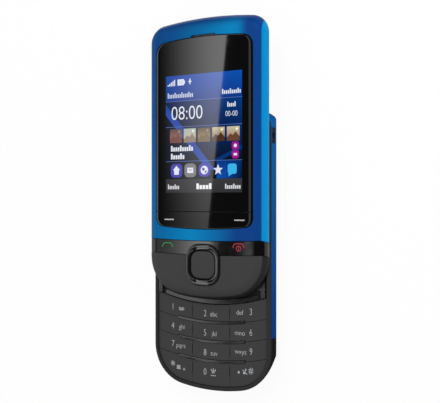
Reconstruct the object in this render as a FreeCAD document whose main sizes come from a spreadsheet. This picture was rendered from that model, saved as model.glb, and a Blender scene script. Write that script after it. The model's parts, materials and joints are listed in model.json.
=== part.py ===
"""A slider phone, built as its separate pieces. Millimetres.

The phone lies on its back: +Z points out of the screen, +Y towards the earpiece and +X to the right.
Every piece is drawn on the closed phone, whose middle is at Y = 0. The two halves are then moved apart
by half the slide travel each, so the open phone is centred on the origin and its flat back is at Z = 0.
"""

import FreeCAD
import Part
import Sketcher

import math
import os
import re
from collections import namedtuple

Vector = FreeCAD.Vector
doc = FreeCAD.newDocument("slider_phone")

# ---------------------------------------------------------------------------------------------
# Sizes
# ---------------------------------------------------------------------------------------------

SIZES = {
    # Plan outline of both halves
    "half_width": 23.8,
    "half_length": 49.7,
    "top_crown": 140,
    "bottom_crown": 68,
    "top_corner": 6.5,
    "bottom_corner": 14,
    "slide_travel": 32.4,
    # Spare on a cutting tool, past what it cuts
    "over": 1.0,
    # Keypad half: levels above the flat back
    "rim_height": 12.0,
    "rim_band": 1.15,
    "trough_depth": 1.4,
    "deck_thick": 0.8,
    "side_round": 9.4,
    "end_round": 5.0,
    "end_reach": 16.0,
    "end_power": 1.6,
    "rim_round": 0.7,
    "shell_wall": 1.1,
    "shell_fit": 0.12,
    "cap_length": 20.0,
    "seam": 0.2,
    "rim_width": 1.4,
    "ledge_width": 1.0,
    "ledge_drop": 1.95,
    # Keys
    "keypad_length": 30.4,
    "key_drop": 0.6,
    "key_thick": 0.95,
    "key_slit": 0.16,
    "key_travel": 0.3,
    "key_line_share": 0.3235,
    "key_groove": 0.4,
    "key_groove_length": 3.7,
    "key_groove_depth": 0.35,
    "row_crown": 90,
    "keypad_crown": 72,
    "row_pitch": 6.85,
    "first_row": 6.4,
    "plunger": 1.2,
    "plunger_share": 0.9,
    "press_spare": 0.1,
    "ridge_margin": 10.0,
    "ridge_width": 0.95,
    "ridge_rise": 0.25,
    "ridge_fit": 0.1,
    "trim_margin": 4.6,
    "trim_width": 1.9,
    "trim_rise": 0.1,
    # Slide mechanism
    "base_plate": 0.4,
    "base_plate_start": 5.9,
    "rail_start": 3.5,
    "rail_end_margin": 6.7,
    "rail_margin": 1.9,
    "rail_width": 1.6,
    "rail_web": 0.5,
    "rail_lip": 0.3,
    "rail_cavity": 0.8,
    "hook_fit": 0.15,
    "hook_web": 0.5,
    "hook_side_fit": 0.3,
    "hook_foot_fit": 0.2,
    "hook_stop": 0.2,
    "slide_plate": 0.5,
    "spring_wire": 0.5,
    "spring_radius": 3.0,
    "spring_margin": 11.3,
    "spring_y": 8.0,
    "spring_leg": 8.0,
    "spring_overlap": 0.6,
    "flex_half": 4.5,
    "flex_thick": 0.15,
    "flex_low": -2.0,
    "flex_end_margin": 19.7,
    "flex_fit": 0.1,
    # Inside of the keypad half
    "board_gap": 1.2,
    "board_thick": 0.8,
    "board_inset": 3.0,
    "board_end_inset": 4.7,
    "bottom_chamfer": 6.5,
    "top_chamfer": 3.0,
    "dome_sheet": 0.15,
    "dome_inset": 4.0,
    "chassis_gap": 2.0,
    "chassis_thick": 0.8,
    "chassis_margin": 2.6,
    "chassis_end_margin": 20.7,
    "chassis_rib": 1.0,
    "rib_margin": 8.8,
    "battery_margin": 6.8,
    "battery_end_margin": 23.2,
    "battery_base": 1.5,
    "battery_gap": 0.1,
    "battery_round": 2.2,
    "battery_fit": 0.3,
    "contact_pitch": 3.0,
    "contact_width": 1.2,
    "contact_low": 3.0,
    "contact_drop": 1.0,
    "can_height": 1.1,
    "can_margin": 5.8,
    "can_split": 5.0,
    "can_gap": 2.0,
    "can_high_margin": 23.7,
    "can_low_margin": 35.7,
    "can_radio_in": 4.0,
    "can_logic_in": 2.0,
    "sim_margin": 8.8,
    "sim_length": 17.0,
    "memory_margin": 10.8,
    "memory_length": 15.0,
    "card_gap": 3.0,
    "jack_margin": 11.8,
    "jack_bore": 1.75,
    "jack_length": 14.0,
    "jack_half": 3.0,
    "jack_nose_length": 4.0,
    "jack_recess": 1.0,
    "jack_drop": 3.1,
    "usb_margin": 12.8,
    "usb_half": 3.8,
    "usb_height": 2.9,
    "usb_depth": 5.5,
    "usb_inset": 1.0,
    "usb_drop": 3.0,
    "usb_wall": 0.3,
    "usb_back": 0.6,
    "usb_tongue_half": 1.9,
    "usb_tongue_thick": 0.6,
    "usb_tongue_drop": 0.8,
    "charger_end_margin": 9.9,
    "charger_half": 2.6,
    "charger_rise": 0.6,
    "charger_height": 2.7,
    "charger_depth": 6.2,
    "charger_bore": 1.05,
    "charger_back": 0.6,
    "charger_recess": 0.15,
    "charger_room_fit": 0.3,
    "camera_end_margin": 12.7,
    "camera_half": 4.0,
    "camera_low": 2.3,
    "camera_gap": 1.6,
    "camera_hole": 3.2,
    "camera_barrel": 2.6,
    "lens_low": 0.15,
    "lens_thick": 0.7,
    "lens_fit": 0.1,
    "speaker_margin": 8.8,
    "speaker_gap": 2.0,
    "speaker_low": 1.5,
    "speaker_height": 3.0,
    "speaker_end_margin": 13.7,
    "speaker_half_length": 6.0,
    "slot_half": 3.0,
    "slot_width": 0.8,
    "slot_pitch": 2.0,
    "motor_margin": 14.3,
    "motor_end_margin": 13.7,
    "motor_radius": 1.8,
    "motor_length": 9.0,
    "motor_drop": 0.05,
    "antenna_margin": 9.8,
    "antenna_in": 6.0,
    "antenna_end_margin": 10.7,
    "antenna_length": 8.0,
    "antenna_low": 4.0,
    "antenna_drop": 0.3,
    "mic_margin": 12.8,
    "mic_end_margin": 8.7,
    "mic_radius": 1.6,
    "mic_height": 1.2,
    "screw_head": 1.3,
    "screw_head_height": 0.8,
    "screw_shank": 0.7,
    "screw_fit": 0.1,
    "screw_margin": 4.8,
    "screw_high_margin": 25.2,
    "screw_low_margin": 37.7,
    # Display half: rises above its own underside
    "halves_gap": 0.5,
    "widest_rise": 0.6,
    "crease_rise": 3.4,
    "face_rise": 4.3,
    "crease_inset": 1.45,
    "face_inset": 4.2,
    "frame_wall": 2.0,
    "frame_ceiling": 2.6,
    "strip_crown": 470,
    "blue_end_margin": 20.8,
    "strip_end_margin": 15.85,
    "boss_radius": 1.5,
    "boss_fit": 0.1,
    "boss_room": 1.8,
    "boss_margin": 6.8,
    "boss_end_margin": 10.7,
    # Window and its soft key bar
    "window_margin": 4.07,
    "window_top_margin": 7.1,
    "window_crown": 140,
    "window_bottom_margin": 24.8,
    "window_bottom_crown": 180,
    "window_corner": 4.0,
    "window_bottom_corner": 3.2,
    "window_bed": 3.3,
    "window_rise": 4.4,
    "window_bevel": 1.53,
    "window_end_bevel": 0.3,
    "window_corner_bevel": 0.8,
    "window_bevel_drop": 0.25,
    "window_split_margin": 30.9,
    "window_fit": 0.07,
    "rocker_fit": 0.12,
    "rocker_thick": 1.2,
    "rocker_post": 0.8,
    "rocker_dip": 0.35,
    "call_post_margin": 7.8,
    "soft_post_margin": 9.8,
    "call_fit": 0.1,
    "call_room_drop": 0.5,
    "notch_half": 5.0,
    "notch_depth": 0.6,
    "mesh_fit": 0.15,
    "mesh_thick": 1.2,
    # Inside of the display half
    "lcd_margin": 6.9,
    "lcd_start": 4.3,
    "lcd_end": 10.8,
    "lcd_opening_fit": 0.4,
    "lcd_gap": 0.1,
    "lcd_edge": 0.3,
    "backlight_thick": 0.9,
    "back_cover_thick": 0.8,
    "ui_board_gap": 0.1,
    "ui_board_thick": 0.5,
    "ui_dome_thick": 0.15,
    "ui_dome_gap": 1.5,
    "earpiece_half": 5.5,
    "earpiece_length": 7.9,
    "earpiece_gap": 0.2,
    "earpiece_thick": 1.0,
    "plate_fit": 0.05,
    "upper_head_height": 0.5,
    "upper_head_recess": 0.05,
    "upper_head_fit": 0.15,
    # Navigation ring and select key
    "navi_end_margin": 12.35,
    "ring_half_width": 6.85,
    "ring_half_length": 7.25,
    "ring_corner": 5.0,
    "ring_crown": 40,
    "ring_rise": 4.9,
    "ring_low": 3.1,
    "ring_shoulder": 0.5,
    "ring_fit": 0.15,
    "select_half": 4.8,
    "select_corner": 3.0,
    "select_crown": 30,
    "select_rise": 4.75,
    "select_low": 2.7,
    "select_shoulder": 0.35,
    "select_drop": 0.25,
    "carrier_high": 2.85,
    "carrier_thick": 0.75,
    "carrier_chamfer": 3.0,
    "carrier_in": 5.2,
    "carrier_in_chamfer": 2.0,
}

# Places that follow from the sizes; one may use those above it
PLACES = {
    "cover_height": "rim_height - rim_band",
    "deck_top": "rim_height - trough_depth",
    "deck_low": "deck_top - deck_thick",
    "ledge_top": "rim_height - ledge_drop",
    "key_face": "rim_height - key_drop",
    "board_low": "deck_low - board_gap",
    "chassis_low": "board_low - chassis_gap",
    "battery_top": "chassis_low - battery_gap",
    "contact_high": "battery_top - contact_drop",
    "jack_axis": "board_low - jack_drop",
    "usb_low": "board_low - usb_drop",
    "charger_high": "deck_low + charger_rise",
    "charger_low": "charger_high - charger_height",
    "camera_top": "board_low - camera_gap",
    "cover_end": "-half_length + cap_length",
    "row_top": "-half_length + keypad_length",
    "key_lines": "half_width * key_line_share",
    "ridge_half": "half_width - ridge_margin",
    "trim_half": "half_width - trim_margin",
    "rail_outer": "half_width - rail_margin",
    "rail_inner": "rail_outer - rail_width",
    "rail_low": "row_top + rail_start",
    "rail_high": "half_length - rail_end_margin",
    "base_plate_end": "row_top + base_plate_start",
    "hook_low": "rail_low + hook_stop",
    "hook_high": "rail_high - slide_travel - hook_stop",
    "spring_x": "half_width - spring_margin",
    "flex_high": "half_length - flex_end_margin",
    "chassis_half_width": "half_width - chassis_margin",
    "chassis_half": "half_length - chassis_end_margin",
    "rib_half": "half_width - rib_margin",
    "battery_half_width": "half_width - battery_margin",
    "battery_half": "half_length - battery_end_margin",
    "rib_in": "battery_half + battery_fit",
    "can_out": "half_width - can_margin",
    "can_high": "half_length - can_high_margin",
    "can_low": "-half_length + can_low_margin",
    "sim_out": "half_width - sim_margin",
    "memory_out": "half_width - memory_margin",
    "jack_x": "half_width - jack_margin",
    "usb_x": "-half_width + usb_margin",
    "usb_mouth_y": "half_length - usb_inset",
    "charger_y": "half_length - charger_end_margin",
    "charger_x": "half_width - charger_depth",
    "camera_y": "half_length - camera_end_margin",
    "speaker_out": "-half_width + speaker_margin",
    "speaker_in": "-camera_half - speaker_gap",
    "speaker_x": "(speaker_out + speaker_in) / 2",
    "speaker_y": "half_length - speaker_end_margin",
    "motor_x": "half_width - motor_margin",
    "motor_y": "-half_length + motor_end_margin",
    "antenna_out": "-half_width + antenna_margin",
    "antenna_end": "-half_length + antenna_end_margin",
    "mic_x": "half_width - mic_margin",
    "mic_y": "-half_length + mic_end_margin",
    "screw_x": "half_width - screw_margin",
    "screw_high": "half_length - screw_high_margin",
    "screw_low": "-half_length + screw_low_margin",
    "blue_end": "-half_length + blue_end_margin",
    "strip_end": "-half_length + strip_end_margin",
    "boss_x": "half_width - boss_margin",
    "boss_y": "half_length - boss_end_margin",
    "window_half": "half_width - window_margin",
    "window_top": "half_length - window_top_margin",
    "window_bottom": "-half_length + window_bottom_margin",
    "window_split": "-half_length + window_split_margin",
    "call_post_x": "half_width - call_post_margin",
    "soft_post_x": "half_width - soft_post_margin",
    "lcd_half": "half_width - lcd_margin",
    "lcd_low": "window_split + lcd_start",
    "lcd_high": "window_top - lcd_end",
    "ui_dome_end": "lcd_low - ui_dome_gap",
    "earpiece_high": "window_top - earpiece_gap",
    "earpiece_low": "earpiece_high - earpiece_length",
    "navi_y": "-half_length + navi_end_margin",
}

sheet = doc.addObject("Spreadsheet::Sheet", "sizes")
for row, (alias, value) in enumerate(SIZES.items(), 1):
    sheet.set(f"A{row}", alias)
    sheet.set(f"B{row}", str(value))
    sheet.setAlias(f"B{row}", alias)
doc.recompute()

ALIAS = re.compile(r"\b(" + "|".join(SIZES) + r")\b")
PLACE = re.compile(r"\b(" + "|".join(PLACES) + r")\b")


def expand(formula):
    """A formula with its places written out in the sheet's aliases."""
    return PLACE.sub(lambda found: PLACES[found.group()], str(formula))


for place, rule in PLACES.items():
    PLACES[place] = f"({expand(rule)})"


def number(formula):
    """The value of a formula."""
    return float(sheet.evalExpression(expand(formula)))


def link(formula):
    """The same formula as an expression that another object can hold."""
    return ALIAS.sub(r"sizes.\1", expand(formula))


def bind(item, field, formula):
    item.setExpression(field, link(formula))


# ---------------------------------------------------------------------------------------------
# Drawing helpers
# ---------------------------------------------------------------------------------------------

CORNER_RUNS = 4
Outline = namedtuple(
    "Outline", "half_width top bottom top_corner bottom_corner top_crown bottom_crown"
)


def inset(shape, side, end=None, corner=None):
    """An outline moved in by side at its flanks, by end at its two ends and rounded less by corner.

    The crowns follow, so that every arc keeps the angle it spans and a wall between two outlines
    stays straight-lined without a twist.
    """
    end = side if end is None else end
    corner = side if corner is None else corner
    half_width = f"({shape.half_width} - ({side}))"
    top_corner = f"({shape.top_corner} - ({corner}))"
    bottom_corner = f"({shape.bottom_corner} - ({corner}))"

    def crown(own_crown, own_corner, new_corner):
        share = f"({half_width} - {new_corner}) / ({shape.half_width} - {own_corner})"
        return f"({new_corner} + ({own_crown} - {own_corner}) * {share})"

    return Outline(
        half_width,
        f"({shape.top} - ({end}))",
        f"({shape.bottom} + ({end}))",
        top_corner,
        bottom_corner,
        crown(shape.top_crown, shape.top_corner, top_corner),
        crown(shape.bottom_crown, shape.bottom_corner, bottom_corner),
    )


def body_plane(body, role):
    for feature in body.Origin.OriginFeatures:
        if feature.Role == role:
            return feature
    raise ValueError(role)


def new_sketch(body, name, plane, offset):
    sketch = body.newObject("Sketcher::SketchObject", name)
    sketch.AttachmentSupport = (body_plane(body, plane), [""])
    sketch.MapMode = "FlatFace"
    bind(sketch, "AttachmentOffset.Base.z", offset)
    return sketch


def dimension(sketch, label, kind, *places, formula):
    """One named, driven constraint of a sketch."""
    index = sketch.addConstraint(Sketcher.Constraint(kind, *places, number(formula)))
    sketch.renameConstraint(index, label)
    bind(sketch, f"Constraints.{label}", formula)


def arc(x, y, radius, start, end):
    circle = Part.Circle(Vector(x, y, 0), Vector(0, 0, 1), radius)
    return Part.ArcOfCircle(circle, start, end)


def line(x1, y1, x2, y2):
    return Part.LineSegment(Vector(x1, y1, 0), Vector(x2, y2, 0))


def outline_sketch(body, name, shape, z):
    """Straight flanks, a crowned top and bottom, and four corners that meet them without an edge."""
    sketch = new_sketch(body, name, "XY_Plane", z)
    side, top, bottom, corner_t, corner_b, crown_t, crown_b = (number(f) for f in shape)
    centre_t = top - crown_t
    centre_b = bottom + crown_b
    inner_t = side - corner_t
    inner_b = side - corner_b
    y_t = centre_t + math.sqrt((crown_t - corner_t) ** 2 - inner_t**2)
    y_b = centre_b - math.sqrt((crown_b - corner_b) ** 2 - inner_b**2)
    turn_t = math.atan2(y_t - centre_t, inner_t)
    turn_b = math.atan2(centre_b - y_b, inner_b)
    half = math.pi
    full = 2 * math.pi
    edges = [
        line(side, y_b, side, y_t),
        arc(inner_t, y_t, corner_t, 0, turn_t),
        arc(0, centre_t, crown_t, turn_t, half - turn_t),
        arc(-inner_t, y_t, corner_t, half - turn_t, half),
        line(-side, y_t, -side, y_b),
        arc(-inner_b, y_b, corner_b, half, half + turn_b),
        arc(0, centre_b, crown_b, half + turn_b, full - turn_b),
        arc(inner_b, y_b, corner_b, full - turn_b, full),
    ]
    sketch.addGeometry(edges, False)
    for i in range(len(edges)):
        sketch.addConstraint(Sketcher.Constraint("Tangent", i, 2, (i + 1) % len(edges), 1))
    for rule in (("Vertical", 0), ("Vertical", 4), ("Equal", 1, 3), ("Equal", 5, 7)):
        sketch.addConstraint(Sketcher.Constraint(*rule))
    for crown in (2, 6):
        sketch.addConstraint(Sketcher.Constraint("PointOnObject", crown, 3, -2))
    dimension(sketch, "right", "DistanceX", -1, 1, 0, 1, formula=shape.half_width)
    dimension(sketch, "left", "DistanceX", 4, 1, -1, 1, formula=shape.half_width)
    dimension(sketch, "top_corner", "Radius", 1, formula=shape.top_corner)
    dimension(sketch, "bottom_corner", "Radius", 5, formula=shape.bottom_corner)
    dimension(sketch, "top_crown", "Radius", 2, formula=shape.top_crown)
    dimension(sketch, "bottom_crown", "Radius", 6, formula=shape.bottom_crown)
    top_centre = f"{shape.top} - ({shape.top_crown})"
    bottom_centre = f"{shape.bottom} + {shape.bottom_crown}"
    dimension(sketch, "top_centre", "DistanceY", -1, 1, 2, 3, formula=top_centre)
    dimension(sketch, "bottom_centre", "DistanceY", -1, 1, 6, 3, formula=bottom_centre)
    return sketch


def pad(body, sketch, length):
    feature = body.newObject("PartDesign::Pad", "pad")
    feature.Profile = sketch
    bind(feature, "Length", length)
    return feature


def plate(name, shape, z_low, z_high):
    """An outline raised straight from one level to another."""
    body = doc.addObject("PartDesign::Body", name)
    sketch = outline_sketch(body, f"{name}_outline", shape, z_low)
    pad(body, sketch, f"({z_high}) - ({z_low})")
    return body


def slanted(raise_plan, name, shape, low_shift, high_shift, z_low, z_high):
    """An outline raised by plate or faceted on a slant, so that its ends lean along Y as it rises."""
    at_foot = shape._replace(top=f"{shape.top} + {low_shift}", bottom=f"{shape.bottom} + {low_shift}")
    body = raise_plan(name, at_foot, z_low, z_high)
    feature = body.Tip
    feature.UseCustomVector = True
    feature.AlongSketchNormal = True
    lean = f"({high_shift}) - ({low_shift})"
    rise = f"({z_high}) - ({z_low})"
    feature.Direction = Vector(0, number(lean), number(rise))
    bind(feature, "Direction.y", lean)
    bind(feature, "Direction.z", rise)
    return body


def loft(name, sections):
    """Outlines at rising levels, joined by straight-lined walls."""
    body = doc.addObject("PartDesign::Body", name)
    sketches = [outline_sketch(body, f"{name}_{i}", shape, z) for i, (shape, z) in enumerate(sections)]
    feature = body.newObject("PartDesign::AdditiveLoft", "loft")
    feature.Profile = sketches[0]
    feature.Sections = sketches[1:]
    feature.Ruled = True
    return body


def band(name, x_low, x_high, low, low_crown, high, high_crown, z_low, z_high):
    """A strip across the phone between two arcs that sag towards the phone's lower end."""
    body = doc.addObject("PartDesign::Body", name)
    sketch = new_sketch(body, f"{name}_outline", "XY_Plane", z_low)
    x0, x1 = number(x_low), number(x_high)
    arcs = []
    for level, crown in ((low, low_crown), (high, high_crown)):
        radius = number(crown)
        centre = number(level) + radius
        start = -math.acos(x0 / radius)
        end = -math.acos(x1 / radius)
        arcs.append((centre, radius, start, end))
    ends = [[centre + radius * math.sin(a) for a in (start, end)] for centre, radius, start, end in arcs]
    sketch.addGeometry(
        [
            arc(0, *arcs[0]),
            line(x1, ends[0][1], x1, ends[1][1]),
            arc(0, *arcs[1]),
            line(x0, ends[1][0], x0, ends[0][0]),
        ],
        False,
    )
    for joint in ((0, 2, 1, 1), (1, 2, 2, 2), (2, 1, 3, 1), (3, 2, 0, 1)):
        sketch.addConstraint(Sketcher.Constraint("Coincident", *joint))
    for rule in (("Vertical", 1), ("Vertical", 3), ("PointOnObject", 0, 3, -2), ("PointOnObject", 2, 3, -2)):
        sketch.addConstraint(Sketcher.Constraint(*rule))
    dimension(sketch, "low_crown", "Radius", 0, formula=low_crown)
    dimension(sketch, "high_crown", "Radius", 2, formula=high_crown)
    dimension(sketch, "low", "DistanceY", -1, 1, 0, 3, formula=f"({low}) + ({low_crown})")
    dimension(sketch, "high", "DistanceY", -1, 1, 2, 3, formula=f"({high}) + ({high_crown})")
    dimension(sketch, "x_high", "DistanceX", -1, 1, 1, 1, formula=x_high)
    dimension(sketch, "x_low", "DistanceX", -1, 1, 3, 1, formula=x_low)
    pad(body, sketch, f"({z_high}) - ({z_low})")
    return body


def profile(name, points, y_low, y_high):
    """A folded or moulded section, drawn across the phone as (X, Z) corners and drawn out along Y."""
    return corners(name, "XZ_Plane", points, f"-({y_high})", f"({y_high}) - ({y_low})")


def panel(name, points, z_low, z_high):
    """A flat sheet with straight edges, drawn as the (X, Y) corners of its right side."""
    points = points + [(f"-({x})", y) for x, y in reversed(points)]
    return corners(name, "XY_Plane", points, z_low, f"({z_high}) - ({z_low})")


def corners(name, plane, points, level, length):
    body = doc.addObject("PartDesign::Body", name)
    sketch = new_sketch(body, f"{name}_outline", plane, level)
    flat = [(number(x), number(y)) for x, y in points]
    count = len(points)
    sketch.addGeometry([line(*flat[i], *flat[(i + 1) % count]) for i in range(count)], False)
    for i in range(count):
        sketch.addConstraint(Sketcher.Constraint("Coincident", i, 2, (i + 1) % count, 1))
    for i, (x, y) in enumerate(points):
        dimension(sketch, f"x_{i}", "DistanceX", -1, 1, i, 1, formula=x)
        dimension(sketch, f"y_{i}", "DistanceY", -1, 1, i, 1, formula=y)
    pad(body, sketch, length)
    return body


def faceted(name, shape, z_low, z_high):
    """An outline whose lower end is drawn in straight runs outside its arcs, for a hidden room."""
    inner = f"({shape.half_width} - {shape.bottom_corner})"
    reach = f"({shape.bottom_crown} - {shape.bottom_corner})"
    start = f"asin({inner} / {reach})"
    turn = f"((90 deg - {start}) / {CORNER_RUNS})"
    centre = f"({shape.bottom} + {shape.bottom_crown} - {reach} * cos({start}))"
    radius = f"({shape.bottom_corner} / cos({turn} / 2))"
    points = [(f"{shape.bottom_crown} * tan({start} / 2)", shape.bottom)]
    for run in range(CORNER_RUNS):
        angle = f"({start} + {turn} * {run + 0.5})"
        points.append((f"{inner} + {radius} * sin({angle})", f"{centre} - {radius} * cos({angle})"))
    points.append((shape.half_width, f"{shape.top} + half_length"))
    return panel(name, points, z_low, z_high)


def barrel(name, half_width, low, radius, top):
    """A section with a flat bottom and two rolled flanks, drawn along the whole phone."""
    body = doc.addObject("PartDesign::Body", name)
    sketch = new_sketch(body, f"{name}_section", "XZ_Plane", "-2 * half_length")
    side, base, roll, lid = (number(formula) for formula in (half_width, low, radius, top))
    flat = side - roll
    centre = base + roll
    quarter = math.pi / 2
    edges = [
        line(-flat, base, flat, base),
        arc(flat, centre, roll, -quarter, 0),
        line(side, centre, side, lid),
        line(side, lid, -side, lid),
        line(-side, lid, -side, centre),
        arc(-flat, centre, roll, 2 * quarter, 3 * quarter),
    ]
    sketch.addGeometry(edges, False)
    for first, second in ((0, 1), (1, 2), (4, 5), (5, 0)):
        sketch.addConstraint(Sketcher.Constraint("Tangent", first, 2, second, 1))
    for first, second in ((2, 3), (3, 4)):
        sketch.addConstraint(Sketcher.Constraint("Coincident", first, 2, second, 1))
    for rule in (("Horizontal", 0), ("Vertical", 2), ("Horizontal", 3), ("Vertical", 4)):
        sketch.addConstraint(Sketcher.Constraint(*rule))
    dimension(sketch, "right", "DistanceX", -1, 1, 2, 1, formula=half_width)
    dimension(sketch, "left", "DistanceX", 4, 1, -1, 1, formula=half_width)
    dimension(sketch, "right_roll", "Radius", 1, formula=radius)
    dimension(sketch, "left_roll", "Radius", 5, formula=radius)
    dimension(sketch, "centre", "DistanceY", -1, 1, 1, 3, formula=f"{low} + {radius}")
    dimension(sketch, "top", "DistanceY", -1, 1, 3, 1, formula=top)
    pad(body, sketch, "4 * half_length")
    return body


def box(name, x_low, x_high, y_low, y_high, z_low, z_high):
    item = doc.addObject("Part::Box", name)
    spans = (("Length", x_low, x_high), ("Width", y_low, y_high), ("Height", z_low, z_high))
    for field, low, high in spans:
        bind(item, field, f"({high}) - ({low})")
    for axis, low in (("x", x_low), ("y", y_low), ("z", z_low)):
        bind(item, f"Placement.Base.{axis}", low)
    return item


TURNS = {
    "x": FreeCAD.Rotation(Vector(0, 1, 0), 90),
    "y": FreeCAD.Rotation(Vector(1, 0, 0), -90),
    "z": FreeCAD.Rotation(),
}


def rod(name, radius, x, y, z, length, axis="z"):
    """A cylinder that starts at a point and runs along one axis."""
    item = doc.addObject("Part::Cylinder", name)
    item.Placement = FreeCAD.Placement(Vector(0, 0, 0), TURNS[axis])
    bind(item, "Radius", radius)
    bind(item, "Height", length)
    for field, place in (("x", x), ("y", y), ("z", z)):
        bind(item, f"Placement.Base.{field}", place)
    return item


def prism(name, sides, radius, x, y, z, length):
    """A many-sided upright post, for small round pieces."""
    item = doc.addObject("Part::Prism", name)
    item.Polygon = sides
    bind(item, "Circumradius", radius)
    bind(item, "Height", length)
    for field, place in (("x", x), ("y", y), ("z", z)):
        bind(item, f"Placement.Base.{field}", place)
    return item


def fuse(name, *items):
    joined = doc.addObject("Part::MultiFuse", name)
    joined.Shapes = list(items)
    joined.Refine = True
    return joined


def group(name, *items):
    """Separate solids of one kind that share a node."""
    held = doc.addObject("Part::Compound", name)
    held.Links = list(items)
    return held


def cut(name, base, *tools):
    result = doc.addObject("Part::Cut", name)
    result.Base = base
    result.Tool = tools[0] if len(tools) == 1 else fuse(f"{name}_tools", *tools)
    result.Refine = True
    return result


def common(name, first, second):
    result = doc.addObject("Part::Common", name)
    result.Base = first
    result.Tool = second
    result.Refine = True
    return result


def filleted(name, base, radius, wanted):
    """The base with those of its edges rounded that wanted(edge) picks."""
    doc.recompute()
    result = doc.addObject("Part::Fillet", name)
    result.Base = base
    size = number(radius)
    edges = base.Shape.Edges
    result.Edges = [(i, size, size) for i, edge in enumerate(edges, 1) if wanted(edge)]
    return result


parts = []
LOWER_SHIFT = "-slide_travel / 2"
UPPER_SHIFT = "slide_travel / 2"


def keep(label, item, shift):
    """Names a finished piece and moves it with its half of the phone."""
    own = dict(item.ExpressionEngine)
    start = [text for path, text in own.items() if path.endswith("Placement.Base.y")]
    base = start[0] + " + " if start else ""
    item.setExpression("Placement.Base.y", base + link(shift))
    item.Label = label
    parts.append(item)


def keep_lower(label, item):
    keep(label, item, LOWER_SHIFT)


def keep_upper(label, item):
    keep(label, item, UPPER_SHIFT)


# ---------------------------------------------------------------------------------------------
# Shared outlines and levels
# ---------------------------------------------------------------------------------------------

PHONE = Outline(
    "half_width",
    "half_length",
    "-half_length",
    "top_corner",
    "bottom_corner",
    "top_crown",
    "bottom_crown",
)
WINDOW = Outline(
    "window_half",
    "window_top",
    "window_bottom",
    "window_corner",
    "window_bottom_corner",
    "window_crown",
    "window_bottom_crown",
)
RING = Outline(
    "ring_half_width",
    "navi_y + ring_half_length",
    "navi_y - ring_half_length",
    "ring_corner",
    "ring_corner",
    "ring_crown",
    "ring_crown",
)
SELECT = Outline(
    "select_half",
    "navi_y + select_half",
    "navi_y - select_half",
    "select_corner",
    "select_corner",
    "select_crown",
    "select_crown",
)
FAR = "2 * half_length"
WIDE = "2 * half_width"
PLATE_TOP = "deck_top + base_plate"
PRESS_GAP = "(key_travel + press_spare)"
BOARD_TOP = "board_low + board_thick"
DOME_TOP = f"{BOARD_TOP} + dome_sheet"
UNDERSIDE = "rim_height + halves_gap"
FACE = f"{UNDERSIDE} + face_rise"
CEILING = f"{UNDERSIDE} + frame_ceiling"
BACK_COVER_TOP = f"{UNDERSIDE} + back_cover_thick"
UI_LOW = f"{BACK_COVER_TOP} + ui_board_gap"
UI_TOP = f"{UI_LOW} + ui_board_thick"
UI_DOME_TOP = f"{UI_TOP} + ui_dome_thick"
WINDOW_BED = f"{UNDERSIDE} + window_bed"
WINDOW_FACE = f"{UNDERSIDE} + window_rise"
LOW_Z = f"{UNDERSIDE} - over"
HIGH_Z = f"{FACE} + 2 * over"

OUTER_STEPS = 3
INNER_STEPS = 1
OUTER_LEANS = (0, 0.2, 0.55, 1)
INNER_LEANS = (0, 0.4, 1)
SIDE_STEPS = 2
FACE_STEPS = 2
HEAD_SIDES = 12
SHANK_SIDES = 6
COIL_SIDES = 12
BOTH_SIDES = (("right", 1), ("left", -1))

# ---------------------------------------------------------------------------------------------
# Keypad half: shells
# ---------------------------------------------------------------------------------------------


def end_lean(share):
    """How far the lower end has drawn in, at a share of the way up from the back to the rim."""
    return f"(end_reach * (1 - (1 - {1 - share} ^ end_power) ^ (1 / end_power)))"


def rounded_back(name, wall, height, steps, raise_plan, leans):
    """The back: rounded at its upper end, rolled along its flanks and swept up at its lower end."""
    long_phone = PHONE._replace(bottom="-half_length - end_reach")
    sections = []
    run = f"(end_round - {wall})"
    for step in range(steps + 1):
        angle = f"{90 * step / steps} deg"
        side = f"end_round - {run} * sin({angle})"
        sections.append((inset(long_phone, side), f"end_round - {run} * cos({angle})"))
    bowl = loft(f"{name}_bowl", sections)
    flank = plate(f"{name}_flank", sections[-1][0], "end_round", height)
    roll = barrel(f"{name}_roll", f"half_width - {wall}", wall, f"side_round - {wall}", f"{height} + over")
    plan = inset(PHONE, wall)
    levels = [f"({wall} + {share} * (cover_height - {wall}))" for share in leans]
    shifts = [end_lean(share) for share in leans]
    sweep = [
        slanted(raise_plan, f"{name}_lean_{i}", plan, shifts[i], shifts[i + 1], levels[i], levels[i + 1])
        for i in range(len(leans) - 1)
    ]
    sweep.append(raise_plan(f"{name}_rim", plan, "cover_height", "cover_height + 2 * over"))
    upper = common(f"{name}_upper", fuse(f"{name}_whole", bowl, flank), roll)
    return common(name, upper, fuse(f"{name}_sweep", *sweep))


back_form = rounded_back("back_form", "0", "cover_height", OUTER_STEPS, plate, OUTER_LEANS)
back_hollow = rounded_back(
    "back_hollow", "shell_wall", "cover_height + over", INNER_STEPS, faceted, INNER_LEANS
)
room = rounded_back("room", "(shell_wall + shell_fit)", "cover_height", INNER_STEPS, faceted, INNER_LEANS)

back_shell = cut("back_shell", back_form, back_hollow)

cover_split = box("cover_split", f"-{WIDE}", WIDE, "cover_end", FAR, "-over", "rim_height")
cap_split = box("cap_split", f"-{WIDE}", WIDE, f"-{FAR}", "cover_end - seam", "-over", "rim_height")
cover_blank = common("cover_blank", back_shell, cover_split)

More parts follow.
